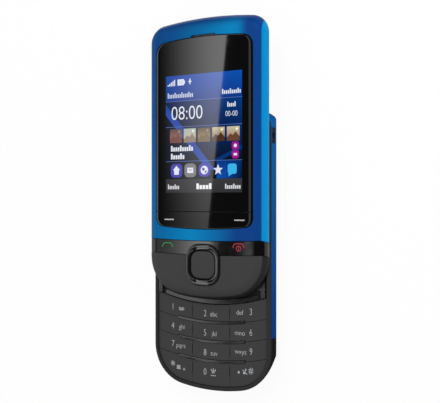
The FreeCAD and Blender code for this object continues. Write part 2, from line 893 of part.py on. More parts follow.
camera_hole = rod("camera_hole", "camera_hole", "0", "camera_y", "-over", "shell_wall + 2 * over")
slots = [
    box(
        f"speaker_slot_{i}",
        "speaker_x - slot_half",
        "speaker_x + slot_half",
        f"speaker_y + slot_pitch * {i} - slot_width / 2",
        f"speaker_y + slot_pitch * {i} + slot_width / 2",
        "-over",
        "shell_wall + over",
    )
    for i in (-1, 0, 1)
]
jack_hole = rod("jack_hole", "jack_half", "jack_x", "half_length - jack_nose_length", "jack_axis",
                "jack_nose_length + over", "y")
usb_hole = box(
    "usb_hole",
    "usb_x - usb_half - shell_fit",
    "usb_x + usb_half + shell_fit",
    "half_length - jack_nose_length",
    FAR,
    "usb_low - shell_fit",
    "usb_low + usb_height + shell_fit",
)
charger_hole = box(
    "charger_hole",
    "charger_x - charger_room_fit",
    WIDE,
    "charger_y - charger_half - shell_fit",
    "charger_y + charger_half + shell_fit",
    "charger_low - shell_fit",
    "charger_high + shell_fit",
)
keep_lower("battery_cover", cut("cover", cover_blank, camera_hole, *slots, jack_hole, usb_hole, charger_hole))
# The cap's rim is rebated all round, so that the housing's skirt and the last keys drop into it.
rebate = plate("rebate", inset(PHONE, "shell_wall"), "deck_low - shell_fit", "cover_height + over")
keep_lower("rear_end_cap", cut("end_cap", common("cap_blank", back_shell, cap_split), rebate))


# The front housing: a rim that closes the shell, a deck that carries the slide and a ledge round the keys.
rim_blank = loft(
    "rim_blank",
    [(PHONE, "cover_height"), (PHONE, "rim_height - rim_round"), (inset(PHONE, "rim_round"), "rim_height")],
)
skirt = plate("skirt", inset(PHONE, "shell_wall + shell_fit"), "deck_low", "cover_height")
housing_blank = fuse("housing_blank", rim_blank, skirt)
slide_trough = common(
    "slide_trough",
    plate("trough_plan", inset(PHONE, "rim_width"), "deck_top", "rim_height + over"),
    band("trough_reach", f"-{WIDE}", WIDE, "row_top", "keypad_crown", FAR, f"5 * {FAR}", "deck_low",
         "rim_height + 2 * over"),
)
keypad_reach = band("keypad_reach", "-half_width", "half_width", "row_top - half_length", "keypad_crown",
                    "row_top", "keypad_crown", "deck_low - 2 * over", "rim_height + 2 * over")
keypad_well = common(
    "keypad_well",
    plate("well_plan", inset(PHONE, "rim_width"), "ledge_top", "rim_height + over"),
    keypad_reach,
)
keypad_window = common(
    "keypad_window",
    plate("window_plan", inset(PHONE, "rim_width + ledge_width"), "deck_low - over", "rim_height + over"),
    keypad_reach,
)
keep_lower(
    "keypad_housing",
    cut("housing", housing_blank, slide_trough, keypad_well, keypad_window, charger_hole),
)

# ---------------------------------------------------------------------------------------------
# Keys
# ---------------------------------------------------------------------------------------------

KEYS_LOW = "key_face - key_thick"
key_area = plate("key_area", inset(PHONE, "rim_width + key_slit"), KEYS_LOW, "key_face")


def row_line(row):
    """Where the lower edge of a key row crosses the phone's middle line; row 0 is the keypad's top."""
    return "row_top" if row == 0 else f"(row_top - first_row - row_pitch * {row - 1})"


def ridge(name, row, spare, low, high):
    """A bar across the keypad on the line below a row."""
    half = f"(ridge_width / 2 + {spare})"
    return band(name, f"-ridge_half - {spare}", f"ridge_half + {spare}", f"{row_line(row)} - {half}",
                "row_crown", f"{row_line(row)} + {half}", "row_crown", low, high)


ridges = [ridge(f"ridge_{row}", row, "0", DOME_TOP, "key_face + ridge_rise") for row in (1, 2, 3)]
keep_lower("keypad_ridges", group("ridges", *ridges))

ridge_room = fuse(
    "ridge_room",
    *[ridge(f"ridge_room_{row}", row, "ridge_fit", "deck_low", "rim_height") for row in (1, 2, 3)],
)

KEY_NAMES = (("1", "2", "3"), ("4", "5", "6"), ("7", "8", "9"), ("star", "0", "hash"))
COLUMNS = (
    ("-half_width", "-key_lines - key_slit / 2", "(-(key_lines + half_width) / 2)"),
    ("-key_lines + key_slit / 2", "key_lines - key_slit / 2", "0"),
    ("key_lines + key_slit / 2", "half_width", "((key_lines + half_width) / 2)"),
)


def groove_pair(row):
    """The short, wider grooves that mark the columns within a row."""
    middle = f"(({row_line(row - 1)} + {row_line(row)}) / 2 + key_lines ^ 2 / (2 * row_crown))"
    return [
        box(f"groove_{row}_{side}", f"{sign} * key_lines - key_groove / 2",
            f"{sign} * key_lines + key_groove / 2", f"{middle} - key_groove_length / 2",
            f"{middle} + key_groove_length / 2", "key_face - key_groove_depth", "key_face + over")
        for side, sign in BOTH_SIDES
    ]


for row, names in enumerate(KEY_NAMES, 1):
    top_crown = "keypad_crown" if row == 1 else "row_crown"
    last = row == len(KEY_NAMES)
    low = "-half_length" if last else f"{row_line(row)} + key_slit / 2"
    low_crown = "bottom_crown" if last else "row_crown"
    high = f"{row_line(row - 1)} - key_slit / 2"
    grooves = groove_pair(row)
    for name, (x_low, x_high, x_mid) in zip(names, COLUMNS):
        blank = band(f"key_{name}_blank", x_low, x_high, low, low_crown, high, top_crown, KEYS_LOW,
                     "key_face")
        key = common(f"key_{name}_plan", blank, key_area)
        key = cut(f"key_{name}_cut", key, ridge_room, *grooves)
        plunger_y = f"({low} + {high}) / 2 + {x_mid} ^ 2 / (2 * row_crown)"
        stem = prism(f"key_{name}_plunger", SHANK_SIDES, "plunger", f"{x_mid} * plunger_share", plunger_y,
                     f"{DOME_TOP} + {PRESS_GAP}", f"{KEYS_LOW} - ({DOME_TOP}) - {PRESS_GAP}")
        keep_lower(f"key_{name}", fuse(f"key_{name}_whole", key, stem))

trim = band("trim", "-trim_half", "trim_half", "row_top + seam", "keypad_crown", "row_top + trim_width",
            "keypad_crown", "deck_top", "key_face + trim_rise")
keep_lower("keypad_top_trim", trim)

# ---------------------------------------------------------------------------------------------
# Slide mechanism
# ---------------------------------------------------------------------------------------------

keep_lower(
    "slide_base_plate",
    box("base_plate_sheet", "-rail_outer", "rail_outer", "base_plate_end", "rail_high", "deck_top",
        PLATE_TOP),
)


def rail(name, sign):
    """A channel that opens inwards: a web on the plate and a lip that holds the hook down."""
    lip_low = f"{PLATE_TOP} + rail_cavity"
    lip_high = f"{lip_low} + rail_lip"
    points = [
        ("rail_outer", PLATE_TOP),
        ("rail_outer", lip_high),
        ("rail_inner", lip_high),
        ("rail_inner", lip_low),
        ("rail_outer - rail_web", lip_low),
        ("rail_outer - rail_web", PLATE_TOP),
    ]
    return profile(name, [(f"{sign} * ({x})", z) for x, z in points], "rail_low", "rail_high")


keep_lower("slide_rails", group("rails", *[rail(f"rail_{side}", sign) for side, sign in BOTH_SIDES]))

foot_low = f"{PLATE_TOP} + hook_fit"
foot_high = f"{PLATE_TOP} + rail_cavity - hook_fit"
web_out = "rail_inner - hook_side_fit"
web_in = f"{web_out} - hook_web"
foot_out = "rail_outer - rail_web - hook_foot_fit"
half_section = [
    (web_in, UNDERSIDE),
    (web_in, foot_low),
    (foot_out, foot_low),
    (foot_out, foot_high),
    (web_out, foot_high),
    (web_out, f"{UNDERSIDE} + slide_plate"),
]
section = half_section + [(f"-({x})", z) for x, z in reversed(half_section)]
keep_upper("slide_plate", profile("slide_plate_fold", section, "hook_low", "hook_high"))


def spring(name, sign):
    """A flat torsion spring: two turns and two legs."""
    low = f"{PLATE_TOP} + flex_fit"
    x = f"{sign} * spring_x"
    coil = cut(
        f"{name}_coil",
        prism(f"{name}_outer", COIL_SIDES, "spring_radius", x, "spring_y", low, "2 * spring_wire"),
        prism(f"{name}_inner", COIL_SIDES, "spring_radius - spring_wire", x, "spring_y", f"{low} - over",
              "2 * spring_wire + 2 * over"),
    )
    legs = []
    for end, way, level in (("leg", 1, low), ("arm", -1, f"{low} + spring_wire")):
        middle = f"{sign} * (spring_x + {way} * (spring_radius - spring_overlap * spring_wire))"
        legs.append(box(f"{name}_{end}", f"{middle} - spring_wire / 2", f"{middle} + spring_wire / 2",
                        "spring_y", "spring_y + spring_leg", level, f"{level} + spring_wire"))
    return fuse(name, coil, *legs)


keep_lower("slide_springs", group("springs", *[spring(f"spring_{side}", sign) for side, sign in BOTH_SIDES]))


def ribbon():
    """The flat cable: one run on the base plate, a turn, and a run back under the slide plate."""
    low = PLATE_TOP
    high = f"{UNDERSIDE} - flex_fit"
    lower = box("ribbon_lower", "-flex_half", "flex_half", "flex_low", "flex_high", low,
                f"{low} + flex_thick")
    upper = box("ribbon_upper", "-flex_half", "flex_half", "flex_low", "flex_high",
                f"{high} - flex_thick", high)
    rise = f"(({high}) - ({low}))"
    turn = cut(
        "ribbon_turn",
        rod("ribbon_turn_outer", f"{rise} / 2", "-flex_half", "flex_high", f"{low} + {rise} / 2",
            "2 * flex_half", "x"),
        rod("ribbon_turn_inner", f"{rise} / 2 - flex_thick", "-flex_half - over", "flex_high",
            f"{low} + {rise} / 2", "2 * (flex_half + over)", "x"),
        box("ribbon_turn_half", "-flex_half - over", "flex_half + over", f"flex_high - {rise}", "flex_high",
            f"{low} - over", f"{high} + over"),
    )
    return fuse("ribbon", lower, upper, turn)


keep_lower("flex_cable", ribbon())

# ---------------------------------------------------------------------------------------------
# Inside of the keypad half
# ---------------------------------------------------------------------------------------------

charger_room = box("charger_room", "charger_x - charger_room_fit", WIDE,
                   "charger_y - charger_half - charger_room_fit",
                   "charger_y + charger_half + charger_room_fit",
                   "charger_low - charger_room_fit", "charger_high + charger_room_fit")
SCREW_PLACES = [(x, y) for y in ("screw_low", "screw_high") for x in ("-screw_x", "screw_x")]


def screw_holes(name):
    return [
        prism(f"{name}_{i}", SHANK_SIDES, "screw_shank + screw_fit", x, y, "chassis_low - over",
              "deck_low - chassis_low + over")
        for i, (x, y) in enumerate(SCREW_PLACES)
    ]


def board_corners(side, end):
    """The right side of a board cut to fit between rounded corners."""
    return [
        (f"half_width - {side} - bottom_chamfer", f"-half_length + {end}"),
        (f"half_width - {side}", f"-half_length + {end} + bottom_chamfer"),
        (f"half_width - {side}", f"half_length - {end} - top_chamfer"),
        (f"half_width - {side} - top_chamfer", f"half_length - {end}"),
    ]


board_plan = panel("board_plan", board_corners("board_inset", "board_end_inset"), "board_low", BOARD_TOP)
keep_lower("main_board", cut("board", board_plan, charger_room, *screw_holes("board_hole")))

dome_corners = board_corners("dome_inset", "board_end_inset")[:2]
dome_corners.append(("half_width - dome_inset", "row_top"))
keep_lower("keypad_dome_sheet", panel("dome", dome_corners, BOARD_TOP, DOME_TOP))

chassis_sheet = box("chassis_sheet", "-chassis_half_width", "chassis_half_width", "-chassis_half",
                    "chassis_half", "chassis_low", "chassis_low + chassis_thick")
RIB_OUT = "(rib_in + chassis_rib)"
chassis_ribs = [
    box(f"rib_{end}", "-rib_half", "rib_half", low, high, "battery_base", "chassis_low")
    for end, low, high in (("low", f"-{RIB_OUT}", "-rib_in"), ("high", "rib_in", RIB_OUT))
]
chassis = fuse("chassis", chassis_sheet, *chassis_ribs)
keep_lower("rear_chassis", cut("chassis_cut", chassis, *screw_holes("chassis_hole")))

battery_block = box("battery_block", "-battery_half_width", "battery_half_width", "-battery_half",
                    "battery_half", "battery_base", "battery_top")


def along_y(edge):
    first, last = (vertex.Point for vertex in edge.Vertexes)
    return abs(first.x - last.x) + abs(first.z - last.z) < 1e-6


keep_lower("battery", filleted("battery_round", battery_block, "battery_round", along_y))


def contact(i):
    """One spring finger of the battery connector, standing on the chassis rib."""
    x = f"contact_pitch * {i}"
    return box(f"contact_{i}", f"{x} - contact_width / 2", f"{x} + contact_width / 2", "battery_half",
               "rib_in", "contact_low", "contact_high")


keep_lower("battery_contacts", group("contacts", *[contact(i) for i in (-1, 0, 1)]))


def can(name, x_low, x_high, y_low, y_high):
    """A drawn steel box soldered to the board's underside."""
    return box(name, x_low, x_high, y_low, y_high, "board_low - can_height", "board_low")


keep_lower(
    "shield_cans",
    group(
        "cans",
        can("can_radio", "-can_out", "-can_radio_in", "can_split + can_gap / 2", "can_high"),
        can("can_logic", "-can_out", "-can_logic_in", "can_low", "can_split - can_gap / 2"),
    ),
)
keep_lower(
    "sim_holder",
    can("sim", "0", "sim_out", "can_split + card_gap", "can_split + card_gap + sim_length"),
)
keep_lower(
    "memory_card_holder",
    can("memory_card", "can_gap / 2", "memory_out", "can_split - can_gap - memory_length",
        "can_split - can_gap"),
)

jack_block = box("jack_block", "jack_x - jack_half", "jack_x + jack_half",
                 "half_length - jack_length - usb_inset", "half_length", "jack_axis - jack_half + shell_fit",
                 "board_low")
jack_nose = rod("jack_nose", "jack_half - shell_fit", "jack_x", "half_length - jack_nose_length", "jack_axis",
                "jack_nose_length - jack_recess", "y")
jack_bore = rod("jack_bore", "jack_bore", "jack_x", "half_length - jack_length", "jack_axis",
                "jack_length + over", "y")
jack_solid = fuse("jack_solid", common("jack_flush", room, jack_block), jack_nose)
keep_lower("audio_jack", cut("jack", jack_solid, jack_bore))

usb_block = box("usb_block", "usb_x - usb_half", "usb_x + usb_half", "usb_mouth_y - usb_depth",
                "usb_mouth_y", "usb_low", "usb_low + usb_height")
usb_mouth = box("usb_mouth", "usb_x - usb_half + usb_wall", "usb_x + usb_half - usb_wall",
                "usb_mouth_y - usb_depth + usb_back", "usb_mouth_y + over", "usb_low + usb_wall",
                "usb_low + usb_height - usb_wall")
usb_tongue_high = "usb_low + usb_height - usb_tongue_drop"
usb_tongue = box("usb_tongue", "usb_x - usb_tongue_half", "usb_x + usb_tongue_half",
                 "usb_mouth_y - usb_depth + usb_back / 2", "usb_mouth_y - usb_tongue_drop",
                 f"{usb_tongue_high} - usb_tongue_thick", usb_tongue_high)
usb_shell = cut("usb_shell", common("usb_flush", back_form, usb_block), usb_mouth)
keep_lower("micro_usb_socket", fuse("usb", usb_shell, usb_tongue))

charger_block = box("charger_block", "charger_x", "half_width - charger_recess", "charger_y - charger_half",
                    "charger_y + charger_half", "charger_low", "charger_high")
charger_bore = rod("charger_bore", "charger_bore", "charger_x + charger_back", "charger_y",
                   "(charger_low + charger_high) / 2", "charger_depth", "x")
keep_lower("charger_jack", cut("charger", common("charger_flush", back_form, charger_block), charger_bore))

camera_block = box("camera_block", "-camera_half", "camera_half", "camera_y - camera_half",
                   "camera_y + camera_half", "camera_low", "camera_top")
camera_barrel = prism("camera_barrel", HEAD_SIDES, "camera_barrel", "0", "camera_y", "lens_low + lens_thick",
                      "camera_low - lens_low - lens_thick")
keep_lower("camera_module", fuse("camera", camera_block, camera_barrel))
camera_glass = rod("camera_glass", "camera_hole - lens_fit", "0", "camera_y", "lens_low", "lens_thick")
keep_lower("camera_lens", camera_glass)

keep_lower(
    "loudspeaker",
    box("speaker", "speaker_out", "speaker_in", "speaker_y - speaker_half_length",
        "speaker_y + speaker_half_length", "speaker_low", "speaker_low + speaker_height"),
)
keep_lower(
    "vibration_motor",
    rod("motor", "motor_radius", "motor_x", "motor_y", "board_low - motor_radius - motor_drop",
        "motor_length", "x"),
)
keep_lower(
    "antenna_carrier",
    box("antenna", "antenna_out", "antenna_in", "antenna_end", "antenna_end + antenna_length", "antenna_low",
        "board_low - antenna_drop"),
)
keep_lower(
    "microphone",
    prism("mic", COIL_SIDES, "mic_radius", "mic_x", "mic_y", "board_low - mic_height", "mic_height"),
)


def screw(name, x, y, z, head_height, length):
    """A pan-head screw, drawn upright from the underside of its head."""
    head = prism(f"{name}_head", HEAD_SIDES, "screw_head", x, y, z, head_height)
    shank = prism(f"{name}_shank", SHANK_SIDES, "screw_shank", x, y, f"{z} + {head_height}", length)
    return fuse(name, head, shank)


lower_screws = [
    screw(f"lower_screw_{i}", x, y, "chassis_low - screw_head_height", "screw_head_height",
          "deck_low - chassis_low")
    for i, (x, y) in enumerate(SCREW_PLACES)
]
keep_lower("lower_screws", group("lower_screws", *lower_screws))


# ---------------------------------------------------------------------------------------------
# Display half: shells
# ---------------------------------------------------------------------------------------------


def display_sections():
    """The bulging flank up to the crease, then the pillowed shoulder up to the face."""
    sections = []
    for step in range(SIDE_STEPS + 1):
        rise = f"(crease_rise * {step} / {SIDE_STEPS})"
        bulge = f"crease_inset * (({rise} - widest_rise) / (crease_rise - widest_rise)) ^ 2"
        sections.append((inset(PHONE, bulge), f"{UNDERSIDE} + {rise}"))
    for step in range(1, FACE_STEPS + 1):
        share = step / FACE_STEPS
        side = f"(crease_inset + (face_inset - crease_inset) * {share})"
        rise = f"(crease_rise + (face_rise - crease_rise) * (1 - (1 - {share}) ^ 2))"
        sections.append((inset(PHONE, side), f"{UNDERSIDE} + {rise}"))
    return sections


display_form = loft("display_form", display_sections())
frame_hollow = plate("frame_hollow", inset(PHONE, "frame_wall"), LOW_Z, CEILING)
display_shell = cut("display_shell", display_form, frame_hollow)
blue_reach = band("blue_reach", f"-{WIDE}", WIDE, "blue_end", "strip_crown", FAR, "strip_crown", LOW_Z,
                  HIGH_Z)
strip_reach = band("strip_reach", f"-{WIDE}", WIDE, "strip_end", "strip_crown", "blue_end - seam",
                   "strip_crown", LOW_Z, HIGH_Z)
chin_reach = band("chin_reach", f"-{WIDE}", WIDE, f"-{FAR}", "strip_crown", "strip_end - seam",
                  "strip_crown", LOW_Z, HIGH_Z)

window_pocket = plate("window_pocket", inset(WINDOW, "-window_fit"), WINDOW_BED, HIGH_Z)
lcd_opening = box("lcd_opening", "-lcd_half - lcd_opening_fit", "lcd_half + lcd_opening_fit",
                  "lcd_low - lcd_opening_fit", "lcd_high + lcd_opening_fit", LOW_Z, HIGH_Z)
soft_opening = common(
    "soft_opening",
    plate("soft_opening_plan", inset(WINDOW, "-rocker_fit"), LOW_Z, HIGH_Z),
    box("soft_opening_reach", f"-{WIDE}", WIDE, f"-{FAR}", "window_split", LOW_Z, HIGH_Z),
)
notch = box("notch", "-notch_half", "notch_half", "earpiece_high", "window_top + notch_depth", LOW_Z, HIGH_Z)
bosses = [
    prism(f"boss_{side}", HEAD_SIDES, "boss_radius", f"{sign} * boss_x", "boss_y",
          f"{BACK_COVER_TOP} + boss_fit", f"{CEILING} - ({BACK_COVER_TOP}) - boss_fit")
    for side, sign in BOTH_SIDES
]

frame_blank = common("frame_blank", display_shell, blue_reach)
frame_cut = cut("frame_cut", frame_blank, window_pocket, lcd_opening, soft_opening, notch)
keep_upper("display_frame", fuse("frame", frame_cut, *bosses))

ring_hole = plate("ring_hole", inset(RING, "-ring_fit"), LOW_Z, HIGH_Z)
rocker_low = f"{FACE} - rocker_thick"
call_room = box("call_room", "-half_width + crease_inset", "half_width - crease_inset", f"-{FAR}", FAR,
                f"{rocker_low} - call_room_drop", HIGH_Z)
strip_shell = common("strip_shell", display_shell, strip_reach)
keep_upper("call_strip_ends", cut("strip_ends", strip_shell, call_room))
keep_upper("chin_cover", cut("chin", common("chin_blank", display_shell, chin_reach), ring_hole))

call_reach = box("call_reach", "-half_width + crease_inset + call_fit",
                 "half_width - crease_inset - call_fit", f"-{FAR}", FAR, rocker_low, HIGH_Z)
call_band = common("call_band", common("call_front", display_form, strip_reach), call_reach)
call_bar = cut("call_bar", call_band, ring_hole)


def posts(name, x, y, top):
    """The two plungers under the ends of a rocking bar."""
    gap = "(rocker_dip + press_spare)"
    low = f"{UI_DOME_TOP} + {gap}"
    return [
        prism(f"{name}_{side}", SHANK_SIDES, "rocker_post", f"{sign} * {x}", y, low, f"{top} - ({low})")
        for side, sign in BOTH_SIDES
    ]


CALL_Y = "(blue_end + strip_end) / 2"
call_posts = posts("call_post", "call_post_x", CALL_Y, rocker_low)
keep_upper("call_key_bar", fuse("call_keys", call_bar, *call_posts))

# ---------------------------------------------------------------------------------------------
# Window and soft key bar
# ---------------------------------------------------------------------------------------------

BEVEL_LOW = f"{WINDOW_FACE} - window_bevel_drop"
glass = loft(
    "glass",
    [
        (WINDOW, f"{WINDOW_FACE} - rocker_thick - window_fit"),
        (WINDOW, BEVEL_LOW),
        (inset(WINDOW, "window_bevel", "window_end_bevel", "window_corner_bevel"), WINDOW_FACE),
    ],
)
window_reach = box("window_reach", f"-{WIDE}", WIDE, "window_split + seam / 2", FAR, WINDOW_BED, HIGH_Z)
keep_upper("display_window", common("window", glass, window_reach))
soft_low = f"{WINDOW_FACE} - rocker_thick"
soft_reach = box("soft_reach", f"-{WIDE}", WIDE, f"-{FAR}", "window_split - seam / 2", soft_low, HIGH_Z)
SOFT_Y = "(window_split + window_bottom) / 2"
soft_bar = common("soft_bar", glass, soft_reach)
keep_upper("soft_key_bar", fuse("soft_keys", soft_bar, *posts("soft_post", "soft_post_x", SOFT_Y, soft_low)))
keep_upper(
    "earpiece_mesh",
    box("mesh", "-notch_half + mesh_fit", "notch_half - mesh_fit", "window_top + window_fit",
        "window_top + notch_depth - window_fit", CEILING, f"{CEILING} + mesh_thick"),
)

# ---------------------------------------------------------------------------------------------
# Navigation ring and select key
# ---------------------------------------------------------------------------------------------

RING_TOP = f"{UNDERSIDE} + ring_rise"
SELECT_ROOM = inset(SELECT, "-ring_fit")
ring_blank = loft(
    "ring_blank",
    [
        (RING, f"{UNDERSIDE} + ring_low"),
        (RING, f"{RING_TOP} - ring_shoulder"),
        (inset(RING, "ring_shoulder"), RING_TOP),
    ],
)
ring_bore = plate("ring_bore", SELECT_ROOM, LOW_Z, HIGH_Z)
keep_upper("navi_ring", cut("ring", ring_blank, ring_bore))

carrier_low = f"{UNDERSIDE} + carrier_high - carrier_thick"
carrier_top = f"{UNDERSIDE} + carrier_high"


def navi_panel(name, half_width, half_length, chamfer, z_low, z_high):
    """A sheet round the middle of the navigation keys, with its four corners cut off."""
    points = [
        (f"{half_width} - {chamfer}", f"navi_y - {half_length}"),
        (half_width, f"navi_y - {half_length} + {chamfer}"),
        (half_width, f"navi_y + {half_length} - {chamfer}"),
        (f"{half_width} - {chamfer}", f"navi_y + {half_length}"),
    ]
    return panel(name, points, z_low, z_high)


carrier_blank = navi_panel("carrier_blank", "(ring_half_width - ring_shoulder)",
                           "(ring_half_length - ring_shoulder)", "carrier_chamfer", carrier_low, carrier_top)
carrier_hole = navi_panel("carrier_hole", "carrier_in", "carrier_in", "carrier_in_chamfer", LOW_Z, HIGH_Z)
keep_upper("navi_carrier", cut("carrier", carrier_blank, carrier_hole))

select_top = f"{UNDERSIDE} + select_rise"
select_cap = loft(
    "select_cap",
    [
        (SELECT, f"{UNDERSIDE} + select_low"),
        (SELECT, f"{select_top} - select_drop"),
        (inset(SELECT, "select_shoulder"), select_top),
    ],
)
select_stem = prism("select_stem", SHANK_SIDES, "plunger", "0", "navi_y", f"{UI_DOME_TOP} + {PRESS_GAP}",
                    f"{UNDERSIDE} + select_low - ({UI_DOME_TOP}) - {PRESS_GAP}")
keep_upper("select_key", fuse("select", select_cap, select_stem))

# ---------------------------------------------------------------------------------------------
# Inside of the display half
# ---------------------------------------------------------------------------------------------

back_plan = plate("back_plan", inset(PHONE, "frame_wall + shell_fit"), UNDERSIDE, BACK_COVER_TOP)
plate_room = box("plate_room", f"-({web_out}) - shell_fit", f"{web_out} + shell_fit", "hook_low - shell_fit",
                 "hook_high + shell_fit", LOW_Z, f"{UNDERSIDE} + slide_plate + plate_fit")
HEAD_LOW = f"{UNDERSIDE} + upper_head_recess"
upper_screws = []
screw_rooms = []
boss_rooms = []
for side, sign in BOTH_SIDES:
    place = (f"{sign} * boss_x", "boss_y")
    upper_screws.append(
        screw(f"upper_screw_{side}", *place, HEAD_LOW, "upper_head_height",
              f"{BACK_COVER_TOP} + boss_fit - ({HEAD_LOW}) - upper_head_height")
    )
    head_room = prism(f"head_room_{side}", HEAD_SIDES, "screw_head + upper_head_fit", *place, LOW_Z,
                      f"{HEAD_LOW} + upper_head_height - ({LOW_Z})")
    shank_room = prism(f"shank_room_{side}", SHANK_SIDES, "screw_shank + screw_fit", *place, LOW_Z,
                       f"{BACK_COVER_TOP} + over - ({LOW_Z})")
    screw_rooms += [head_room, shank_room]
    boss_rooms.append(
        prism(f"boss_room_{side}", HEAD_SIDES, "boss_room", *place, LOW_Z, f"{CEILING} - ({LOW_Z})")
    )
keep_upper("upper_back_cover", cut("back_cover", back_plan, plate_room, *screw_rooms))
keep_upper("upper_screws", group("screws", *upper_screws))

ui_plan = panel("ui_plan", board_corners("board_inset", "board_end_inset"), UI_LOW, UI_TOP)
keep_upper("ui_board", cut("ui", ui_plan, *boss_rooms))
ui_dome_corners = board_corners("dome_inset", "board_end_inset")[:2]
ui_dome_corners.append(("half_width - dome_inset", "ui_dome_end"))
keep_upper("ui_dome_sheet", panel("ui_dome", ui_dome_corners, UI_TOP, UI_DOME_TOP))
keep_upper(
    "backlight_unit",
    box("backlight", "-lcd_half", "lcd_half", "lcd_low", "lcd_high", UI_TOP, f"{UI_TOP} + backlight_thick"),
)
LCD_LOW = f"{UI_TOP} + backlight_thick"
keep_upper(
    "lcd_panel",
    box("lcd", "-lcd_half + lcd_edge", "lcd_half - lcd_edge", "lcd_low + lcd_edge", "lcd_high - lcd_edge",
        LCD_LOW, f"{WINDOW_BED} - lcd_gap"),
)
keep_upper(
    "earpiece",
    box("capsule", "-earpiece_half", "earpiece_half", "earpiece_low", "earpiece_high", UI_TOP,
        f"{UI_TOP} + earpiece_thick"),
)

# ---------------------------------------------------------------------------------------------
# Check and write
# ---------------------------------------------------------------------------------------------

doc.recompute()
failed = [item.Name for item in doc.Objects if "Invalid" in item.State or "Error" in item.State]
if failed:
    raise SystemExit("failed objects: " + ", ".join(failed))
bad = [p.Label for p in parts if p.Shape.isNull() or not p.Shape.isValid() or not p.Shape.Solids]
if bad:
    raise SystemExit("bad shapes: " + ", ".join(bad))

os.makedirs("parts", exist_ok=True)
for part in parts:
    part.Shape.exportStep(f"parts/{part.Label}.step")
    print(f"{part.Label}: {len(part.Shape.Solids)} solid, {part.Shape.Volume:.1f} mm3")
print(len(parts), "nodes")
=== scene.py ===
# %% [markdown]
# # A slider phone, dressed in Blender
#
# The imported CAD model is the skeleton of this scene. It gives every part its place, and it says which body
# each part rides on. The cells below put a finely shaped piece over each rough CAD part and give it a finish.
# All lengths are written in millimetres, as a phone maker would, and turned into metres in one place.

# %% Load the frame
import math
from collections import namedtuple

import bpy
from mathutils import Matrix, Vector
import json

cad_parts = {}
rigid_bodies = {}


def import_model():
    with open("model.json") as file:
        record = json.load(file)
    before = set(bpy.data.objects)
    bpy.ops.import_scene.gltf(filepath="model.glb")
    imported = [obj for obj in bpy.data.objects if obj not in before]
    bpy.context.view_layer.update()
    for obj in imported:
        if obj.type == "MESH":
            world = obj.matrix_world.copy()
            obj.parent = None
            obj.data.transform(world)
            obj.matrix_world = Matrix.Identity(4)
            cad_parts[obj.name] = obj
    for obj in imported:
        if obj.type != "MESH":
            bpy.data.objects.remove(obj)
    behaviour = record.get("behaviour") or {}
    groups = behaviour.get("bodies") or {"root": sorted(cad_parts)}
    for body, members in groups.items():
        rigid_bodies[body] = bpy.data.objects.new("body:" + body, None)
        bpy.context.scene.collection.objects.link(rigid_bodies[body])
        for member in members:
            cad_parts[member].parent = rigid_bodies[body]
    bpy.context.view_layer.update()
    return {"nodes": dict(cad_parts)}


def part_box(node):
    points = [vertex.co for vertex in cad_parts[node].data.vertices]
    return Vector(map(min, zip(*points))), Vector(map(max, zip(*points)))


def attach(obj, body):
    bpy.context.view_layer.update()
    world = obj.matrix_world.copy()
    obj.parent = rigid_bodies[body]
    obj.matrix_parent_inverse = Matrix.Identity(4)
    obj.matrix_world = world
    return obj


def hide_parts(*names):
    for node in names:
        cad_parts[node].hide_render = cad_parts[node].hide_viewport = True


MM = 0.001


def in_metres(*point):
    return tuple(c * MM for c in point)


def in_millimetres(corners):
    return [[round(c / MM, 2) for c in corner] for corner in corners]


def in_scene(name, data):
    """A new object that the scene shows."""
    thing = bpy.data.objects.new(name, data)
    bpy.context.scene.collection.objects.link(thing)
    return thing


for leftover in list(bpy.data.objects):
    bpy.data.objects.remove(leftover)
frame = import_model()

# %% [markdown]
# ## The camera
#
# A camera is a point, a direction and a lens. It stands to the right of the phone and looks a third of a
# right angle past the vertical, so the right wall shows and the left one hides. Turning about the phone's
# length alone keeps the view upright.

# %% Camera
TURN_ASIDE = math.radians(30.357)
LENS = 66.62
STAND = (148.77, 0.98, 259.0)
camera_data = bpy.data.cameras.new("camera")
camera_data.lens = LENS
camera_data.clip_start, camera_data.clip_end = 0.01, 20
camera = in_scene("camera", camera_data)
camera.location = in_metres(*STAND)
camera.rotation_euler = (0, TURN_ASIDE, 0)
bpy.context.scene.camera = camera
bpy.context.scene.view_settings.view_transform = "Standard"
print("camera", [round(c, 4) for c in camera.location])

# %% [markdown]
# ## The outline that both halves share
#
# Seen from above, a half of the phone is two straight flanks, a gently crowned top and bottom, and four
# corner arcs that meet them without an edge. Almost every shell is this one line, moved in a little at each
# level. So the line is a small record of seven numbers, and one function moves it in.

# %% Outlines
Outline = namedtuple("Outline", "half top bottom top_corner bottom_corner top_crown bottom_crown")
LOWER, UPPER = -16.2, 16.2
NAVI_Y, RING_REACH, SELECT_REACH = -37.35, 7.25, 4.8
PHONE = Outline(23.8, 49.7, -49.7, 6.5, 14, 140, 68)
WINDOW = Outline(19.73, 42.6, -24.9, 4.0, 3.2, 140, 180)
RING = Outline(6.85, NAVI_Y + RING_REACH, NAVI_Y - RING_REACH, 5.0, 5.0, 40, 40)
SELECT = Outline(4.8, NAVI_Y + SELECT_REACH, NAVI_Y - SELECT_REACH, 3.0, 3.0, 30, 30)


def shrink(shape, side, end=None, corner=None):
    """The outline moved in by side at its flanks and by end at its ends, each arc keeping its angle."""
    end = side if end is None else end
    corner = side if corner is None else corner
    half = shape.half - side
    top_corner, bottom_corner = shape.top_corner - corner, shape.bottom_corner - corner

    def crown(own, own_corner, new_corner):
        return new_corner + (own - own_corner) * (half - new_corner) / (shape.half - own_corner)

    return Outline(half, shape.top - end, shape.bottom + end, top_corner, bottom_corner,
                   crown(shape.top_crown, shape.top_corner, top_corner),
                   crown(shape.bottom_crown, shape.bottom_corner, bottom_corner))


print("outlines", 2 * PHONE.half, "x", PHONE.top - PHONE.bottom)

